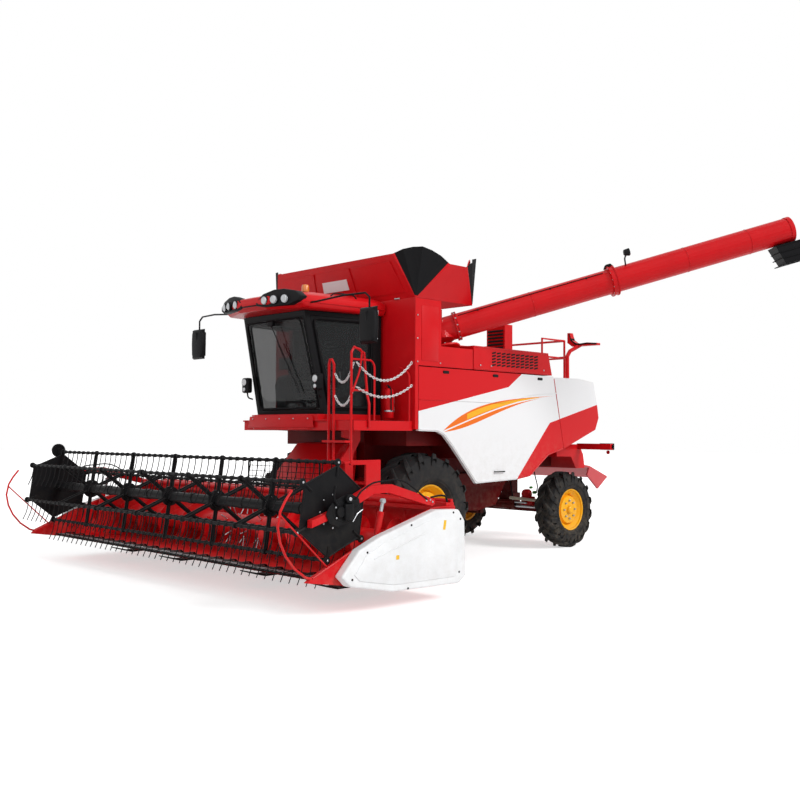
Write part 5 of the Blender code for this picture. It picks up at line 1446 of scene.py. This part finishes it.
class HARVESTER_OT_panels(bpy.types.Operator):
    """Add the side panels' folds, handles and hinges, the engine deck's vents and the hood's trim"""
    bl_idname = "harvester.panels"
    bl_label = "Panels and engine deck"

    def execute(self, context):
        for side, word in SIDES:
            folds, black = [], []
            edge = [(0.33, 1.95), (-0.04, 1.94), (-0.17, 1.89), (-0.35, 1.73), (-0.87, 1.19), (-1.84, 1.22),
                    (-2.15, 1.26), (-2.62, 1.58),
                    (-3.00, 1.67)]
            folds.append(tube([(x, 1.552 * side, z) for x, z in edge], 0.009, 0.05, 1))
            folds.append(tube([(0.33, 1.553 * side, 2.36), (-1.55, 1.553 * side, 2.36), (-2.10, 1.553 * side,
                    2.50), (-2.85, 1.553 * side, 2.55)],
                              0.007, 0.2, 1))
            for x, z in ((-0.20, 2.76), (-1.30, 2.76), (-2.40, 2.76)):
                black.append(block((x - 0.06, 1.547 * side - 0.012, z - 0.02), (x + 0.06, 1.547 * side + 0.016,
                        z + 0.02), 0.006))
            black.append(tube([(-1.27, 1.552 * side, 1.33), (-1.27, 1.585 * side, 1.33), (-1.49, 1.585 * side,
                    1.33), (-1.49, 1.552 * side, 1.33)],
                              0.009, 0.02, 1))
            joined(f"side_panel_folds_{word}", folds, f"side_panel_{word}", "side")
            joined(f"side_panel_latches_{word}", black, f"side_panel_{word}", "plastic")
        dark, red, steel, plastic, amber = [], [], [], [], []
        for side in (1, -1):
            # slotted vents along the engine's side
            slot = plate([(0.0, -0.014), (0.085, -0.030), (0.085, -0.006), (0.0, 0.010)], "Y", 1.546 * side,
                         1.5565 * side, 0.002)
            places = [shift(-2.34 + 0.115 * n, 0, 3.11 - 0.045 * row) for row in range(5) for n in range(10)]
            dark += copies(slot, places)
            red.append(tube([(-0.82, 1.550 * side, 3.165), (-2.60, 1.550 * side, 3.165)], 0.010, 0, 1))
            red.append(tube([(-0.82, 1.550 * side, 2.85), (-2.66, 1.550 * side, 2.85)], 0.008, 0, 1))
            for x in (-0.95, -1.20, -2.50):
                steel.append(drum((x, 1.548 * side, 2.90), (x, 1.560 * side, 2.90), 0.012, 8, bevel=0.002))
            # seam on the hood
            red.append(tube([(-2.78, 1.548 * side, 2.78), (-3.04, 1.548 * side, 1.69)], 0.006, 0, 1))
        # rotary screen's frame, louvres on the intake
        for n in range(7):
            z = 3.24 + 0.055 * n
            dark.append(plate([(-2.382, z), (-2.366, z - 0.012), (-2.366, z + 0.012), (-2.382, z + 0.026)], "Y",
                              0.51, 0.83, 0.002))
        red.append(tube([(-2.375, 0.49, 3.67), (-2.375, 0.85, 3.67)], 0.010, 0, 1))
        # exhaust: tip and shield
        steel.append(turned([(0.052, 0.0), (0.060, 0.0), (0.060, 0.14), (0.052, 0.14)], (-2.30, -0.45, 3.60),
                            24, "Z"))
        dark.append(turned([(0.082, 0.0), (0.088, 0.0), (0.088, 0.30), (0.082, 0.30)], (-2.30, -0.45, 3.20), 24,
                           "Z"))
        # turning beacon and deck hatch
        plastic.append(drum((-2.10, -1.20, 3.18), (-2.10, -1.20, 3.24), 0.05, 20, 0.045, 0.004))
        amber.append(turned([(0.0005, 0.0), (0.045, 0.0), (0.047, 0.02), (0.044, 0.07), (0.034, 0.09), (0.0005,
                0.098)], (-2.10, -1.20, 3.24),
                            24, "Z"))
        red.append(plate([(-1.90, -0.75), (-1.05, -0.75), (-1.05, 0.65), (-1.90, 0.65)], "Z", 3.178, 3.200,
                         0.010, 2))
        plastic.append(tube([(-1.15, -0.10, 3.20), (-1.15, -0.10, 3.235), (-1.15, 0.10, 3.235), (-1.15, 0.10,
                3.20)], 0.009, 0.02, 1))
        joined("engine_vents", dark, "root", "black")
        joined("deck_rims", red, "root", "red")
        joined("deck_bolts", steel, "root", "steel")
        joined("deck_fittings", plastic, "root", "plastic")
        joined("deck_beacon", amber, "root", "amber")
        return {"FINISHED"}


class HARVESTER_OT_rear(bpy.types.Operator):
    """Add the rear lamps and the saddle's pad"""
    bl_idname = "harvester.rear"
    bl_label = "Rear"

    def execute(self, context):
        black, lens, amber, red, pad = [], [], [], [], []
        for side in (1, -1):
            y = 1.68 * side
            black.append(block((-4.135, y - 0.15, 1.630), (-4.098, y + 0.13, 1.742), 0.012, 2))
            lens.append(block((-4.150, y - 0.13 if side > 0 else y - 0.03, 1.645), (-4.134,
                    y + 0.01 if side > 0 else y + 0.11, 1.728), 0.008, 2))
            amber.append(block((-4.150, y + 0.02 if side > 0 else y - 0.13, 1.645), (-4.134,
                    y + 0.11 if side > 0 else y - 0.04, 1.728), 0.008, 2))
            black.append(drum((-4.06, y + 0.12 * side, 1.685), (-4.08, y + 0.12 * side, 1.685), 0.036, 16,
                              bevel=0.004))
            red.append(drum((-4.10, y + 0.02 * side, 1.59), (-4.112, y + 0.02 * side, 1.59), 0.034, 16,
                            bevel=0.002))
        pad.append(plate([(1.052, 3.625), (1.064, 3.625), (1.104, 3.518), (1.192, 3.455), (1.283, 3.442), (1.42,
                3.452), (1.61, 3.432),
                          (1.61, 3.412), (1.42, 3.430), (1.283, 3.420), (1.185, 3.432), (1.092,
                                  3.500)], "X", -4.012, -3.888, 0.003))
        joined("rear_lamp_housings", black, "root", "plastic")
        joined("rear_lamp_lenses", lens, "root", "red_lens")
        joined("rear_turn_lenses", amber, "root", "amber")
        joined("rear_reflectors", red, "root", "red_lens")
        joined("saddle_pad", pad, "root", "rubber")
        return {"FINISHED"}


class HARVESTER_OT_unloading(bpy.types.Operator):
    """Add the unloading auger's flanges, clamp bands, lamp and the spout's lip"""
    bl_idname = "harvester.unloading"
    bl_label = "Unloading auger"

    def execute(self, context):
        elbow, line = Vector((-0.50, 1.16, 3.395)), Vector((-0.678, 0.678, 0.284)).normalized()
        radius = 0.184
        side = line.cross((0, 0, 1)).normalized()
        up = side.cross(line)
        to_tube = Matrix((side, line, up)).transposed().to_4x4()
        to_tube.translation = elbow

        def ring(profile):
            return turned(profile, (0, 0, 0), 40)

        red, steel, black, lens = [], [], [], []
        # bolted flange pairs, welded seams and a stiffening band
        for s, r in ((0.235, 0.215), (0.272, 0.215), (2.598, 0.226), (2.672, 0.226)):
            red.append(ring([(radius - 0.001, s - 0.008), (r, s - 0.008), (r, s + 0.008), (radius - 0.001,
                    s + 0.008)]))
        for s in (1.40, 3.75, 4.70):
            red.append(ring([(radius - 0.001, s - 0.006), (radius + 0.0035, s - 0.003), (radius + 0.0035,
                    s + 0.003), (radius - 0.001, s + 0.006)]))
        red.append(ring([(radius - 0.001, 5.30), (radius + 0.008, 5.30), (radius + 0.008, 5.36),
                         (radius - 0.001, 5.36)]))
        bolt = drum((0.0, -0.024, 0.205), (0.0, 0.024, 0.205), 0.010, 6, bevel=0.002)
        places = []
        for s in (0.2535, 2.635):
            for n in range(12):
                places.append(Matrix.Translation((0, s, 0)) @ Matrix.Rotation(2 * math.pi * n / 12, 4, "Y")
                              @ Matrix.Diagonal((1, 1.0 if s < 1 else 2.0, 1, 1)))
        steel += copies(bolt, places)
        # hinge lugs and the over-centre clamp across the middle flange
        for x in (-0.03, 0.03):
            black.append(plate([(2.56, 0.20), (2.60, 0.255), (2.67, 0.255), (2.71, 0.20)], "X", x - 0.008,
                               x + 0.008, 0.004))
        black.append(drum((-0.05, 2.635, 0.235), (0.05, 2.635, 0.235), 0.014, 12, bevel=0.002))
        # lamp on a bracket, and its cable clipped along the tube
        black.append(tube([(0.10, 2.86, 0.16), (0.16, 2.86, 0.26), (0.16, 2.90, 0.30)], 0.012, 0.04, 1))
        black.append(drum((0.16, 2.87, 0.335), (0.16, 2.95, 0.325), 0.042, 18, 0.058, 0.005))
        lens.append(ball((0.16, 2.952, 0.325), (0.050, 0.012, 0.050), 16))
        black.append(tube([(0.13, 0.30, 0.134), (0.131, 1.40, 0.137), (0.131, 2.50, 0.137)], 0.007, 0, 1))
        for s in (0.6, 1.15, 1.7, 2.25):
            black.append(drum((0.125, s - 0.012, 0.130), (0.125, s + 0.012, 0.130), 0.018, 8, bevel=0.003))
        # spout: ribs that pull its rubber in, and a rolled lip
        spout = []
        for t in (0.0, 0.33, 0.66, 1.0):
            s0, s1 = 5.02, 5.44
            drop = -(radius + 0.02 + t * 0.275)
            half = 0.152 + 0.004
            spout.append(tube([(-half, s0 + 0.02, drop), (half, s0 + 0.02, drop), (half, s1 + 0.01, drop),
                               (-half, s1 + 0.01, drop)], 0.007,
                              0.02, 1, closed=True))
        for piece in red + steel + black + lens + spout:
            piece.data.transform(to_tube)
        # turret: ring gear and its bolts
        swivel = Vector((0.0, -0.314, 0.949)).normalized()
        base = elbow - swivel * 0.30
        red.append(drum(base, base + swivel * 0.03, 0.235, 36, bevel=0.004))
        for n in range(12):
            a = 2 * math.pi * n / 12
            across = swivel.orthogonal().normalized()
            spoke = Matrix.Rotation(a, 3, swivel) @ across
            spot = base + spoke * 0.212 + swivel * 0.03
            steel.append(drum(spot, spot + swivel * 0.014, 0.011, 6, bevel=0.002))
        joined("auger_flanges", red, "unloading_auger", "red")
        joined("auger_bolts", steel, "unloading_auger", "steel")
        joined("auger_clamps", black, "unloading_auger", "plastic")
        joined("auger_lamp_lens", lens, "unloading_auger", "lens")
        joined("spout_ribs", spout, "unloading_auger", "rubber")
        return {"FINISHED"}


class HARVESTER_OT_running_gear(bpy.types.Operator):
    """Add the axles' castings, the cylinders' glands, hoses and fittings"""
    bl_idname = "harvester.running_gear"
    bl_label = "Axles and cylinders"

    def execute(self, context):
        dark, steel, hose, brass = [], [], [], []
        for side in (1, -1):
            # final drive: ribbed casting with a bolted cover, brake drum
            centre = (0, 0, 0.81)
            dark.append(turned([(0.262, 0.80 * side), (0.268, 0.80 * side), (0.268, 0.86 * side), (0.262,
                    0.86 * side)], centre, 32))
            for n in range(8):
                a = 2 * math.pi * n / 8 + 0.2
                steel.append(drum((0.245 * math.cos(a), 0.775 * side, 0.81 + 0.245 * math.sin(a)),
                                  (0.245 * math.cos(a), 0.795 * side,
                                   0.81 + 0.245 * math.sin(a)), 0.012, 6, bevel=0.002))
            hose.append(tube([(0.30, 0.42 * side, 0.60), (0.42, 0.42 * side, 0.70), (0.40, 0.50 * side, 1.10),
                              (0.24, 0.60 * side, 1.50)], 0.012,
                             0.12, 1))
            # steering knuckle: kingpin caps
            for z in (0.52, 0.745):
                steel.append(drum((-3.59, 0.93 * side, z - 0.006), (-3.59, 0.93 * side, z + 0.010), 0.030, 12,
                                  bevel=0.003))
        # pale draw rod, axle pivot and green caps in front of the rear axle
        cream, red, green = [], [], []
        for side in (1, -1):
            cream.append(drum((-3.30, 0.24 * side, 0.79), (-3.31, 0.86 * side, 0.77), 0.026, 16, bevel=0.004))
            steel.append(drum((-3.31, 0.84 * side, 0.77), (-3.35, 0.93 * side, 0.74), 0.016, 12, bevel=0.003))
            red.append(drum((-3.46, 0.52 * side, 0.86), (-3.36, 0.52 * side, 0.86), 0.085, 20, bevel=0.010))
            red.append(block((-3.50, min(0.40 * side, 0.64 * side), 0.67), (-3.40, max(0.40 * side,
                    0.64 * side), 0.82), 0.014, 2))
            green.append(drum((-3.40, 0.72 * side, 0.90), (-3.33, 0.72 * side, 0.90), 0.026, 12, bevel=0.005))
            green.append(drum((-3.40, 0.64 * side, 0.98), (-3.34, 0.64 * side, 0.98), 0.020, 12, bevel=0.004))
            steel.append(drum((-3.42, 0.72 * side, 0.90), (-3.40, 0.72 * side, 0.90), 0.016, 12, bevel=0.003))
            hose.append(tube([(-3.42, 0.72 * side, 0.90), (-3.48, 0.70 * side, 1.00), (-3.50, 0.62 * side,
                    1.20), (-3.46, 0.60 * side, 1.40)],
                             0.010, 0.08, 1))
        joined("draw_rods", cream, "root", "cream")
        joined("axle_pivots", red, "root", "red")
        joined("valve_caps", green, "root", "green")
        # steering cylinder along the rear axle, its rod, ports and hoses
        dark.append(drum((-3.36, -0.30, 0.715), (-3.36, 0.30, 0.715), 0.036, 20, bevel=0.006))
        steel.append(drum((-3.36, 0.30, 0.715), (-3.36, 0.56, 0.715), 0.018, 16, bevel=0.002))
        steel.append(drum((-3.36, -0.56, 0.715), (-3.36, -0.30, 0.715), 0.018, 16, bevel=0.002))
        for y in (-0.26, 0.26):
            brass.append(drum((-3.36, y, 0.745), (-3.36, y, 0.785), 0.014, 6, bevel=0.002))
            hose.append(tube([(-3.36, y, 0.78), (-3.36, y * 0.9, 0.90), (-3.42, y * 0.6, 1.05), (-3.40, y * 0.4,
                    1.30)], 0.010, 0.1, 1))
            dark.append(block((-3.52, y - 0.04, 0.66), (-3.34, y + 0.04, 0.692), 0.006))
        # the axle castings take the red darkened as painted shade
        joined("axle_castings", dark, "root", "painted_shade_red")
        joined("axle_bolts", steel, "root", "steel")
        joined("axle_hoses", hose, "root", "rubber")
        joined("hose_fittings", brass, "root", "steel")
        return {"FINISHED"}


# ---------------------------------------------------------------- panel
OPERATORS = (HARVESTER_OT_stage, HARVESTER_OT_frame_finishes, HARVESTER_OT_wheels, HARVESTER_OT_reel,
             HARVESTER_OT_reel_arms,
             HARVESTER_OT_header, HARVESTER_OT_cab, HARVESTER_OT_seat, HARVESTER_OT_rails, HARVESTER_OT_tank,
             HARVESTER_OT_panels, HARVESTER_OT_rear, HARVESTER_OT_unloading, HARVESTER_OT_running_gear)
GROUPS = (("harvester_stage", HarvesterStage), ("harvester_paint", HarvesterPaint), ("harvester_wheels",
        HarvesterWheels),
          ("harvester_reel", HarvesterReel), ("harvester_header", HarvesterHeader),
          ("harvester_body", HarvesterBody))


class HARVESTER_PT_pieces(bpy.types.Panel):
    """Lists the pieces that can be added"""
    bl_idname = "HARVESTER_PT_pieces"
    bl_label = "Combine harvester"
    bl_space_type = "VIEW_3D"
    bl_region_type = "UI"
    bl_category = "Harvester"

    def draw(self, context):
        for operator in OPERATORS:
            self.layout.operator(operator.bl_idname)


CLASSES = tuple(group for _, group in GROUPS) + OPERATORS + (HARVESTER_PT_pieces,)


def register():
    for cls in CLASSES:
        bpy.utils.register_class(cls)
    for name, group in GROUPS:
        setattr(bpy.types.Scene, name, PointerProperty(type=group))


def unregister():
    for name, group in GROUPS:
        delattr(bpy.types.Scene, name)
    for cls in reversed(CLASSES):
        bpy.utils.unregister_class(cls)


def main():
    register()
    for operator in OPERATORS:
        group, call = operator.bl_idname.split(".")
        getattr(getattr(bpy.ops, group), call)()


if __name__ == "__main__":
    main()
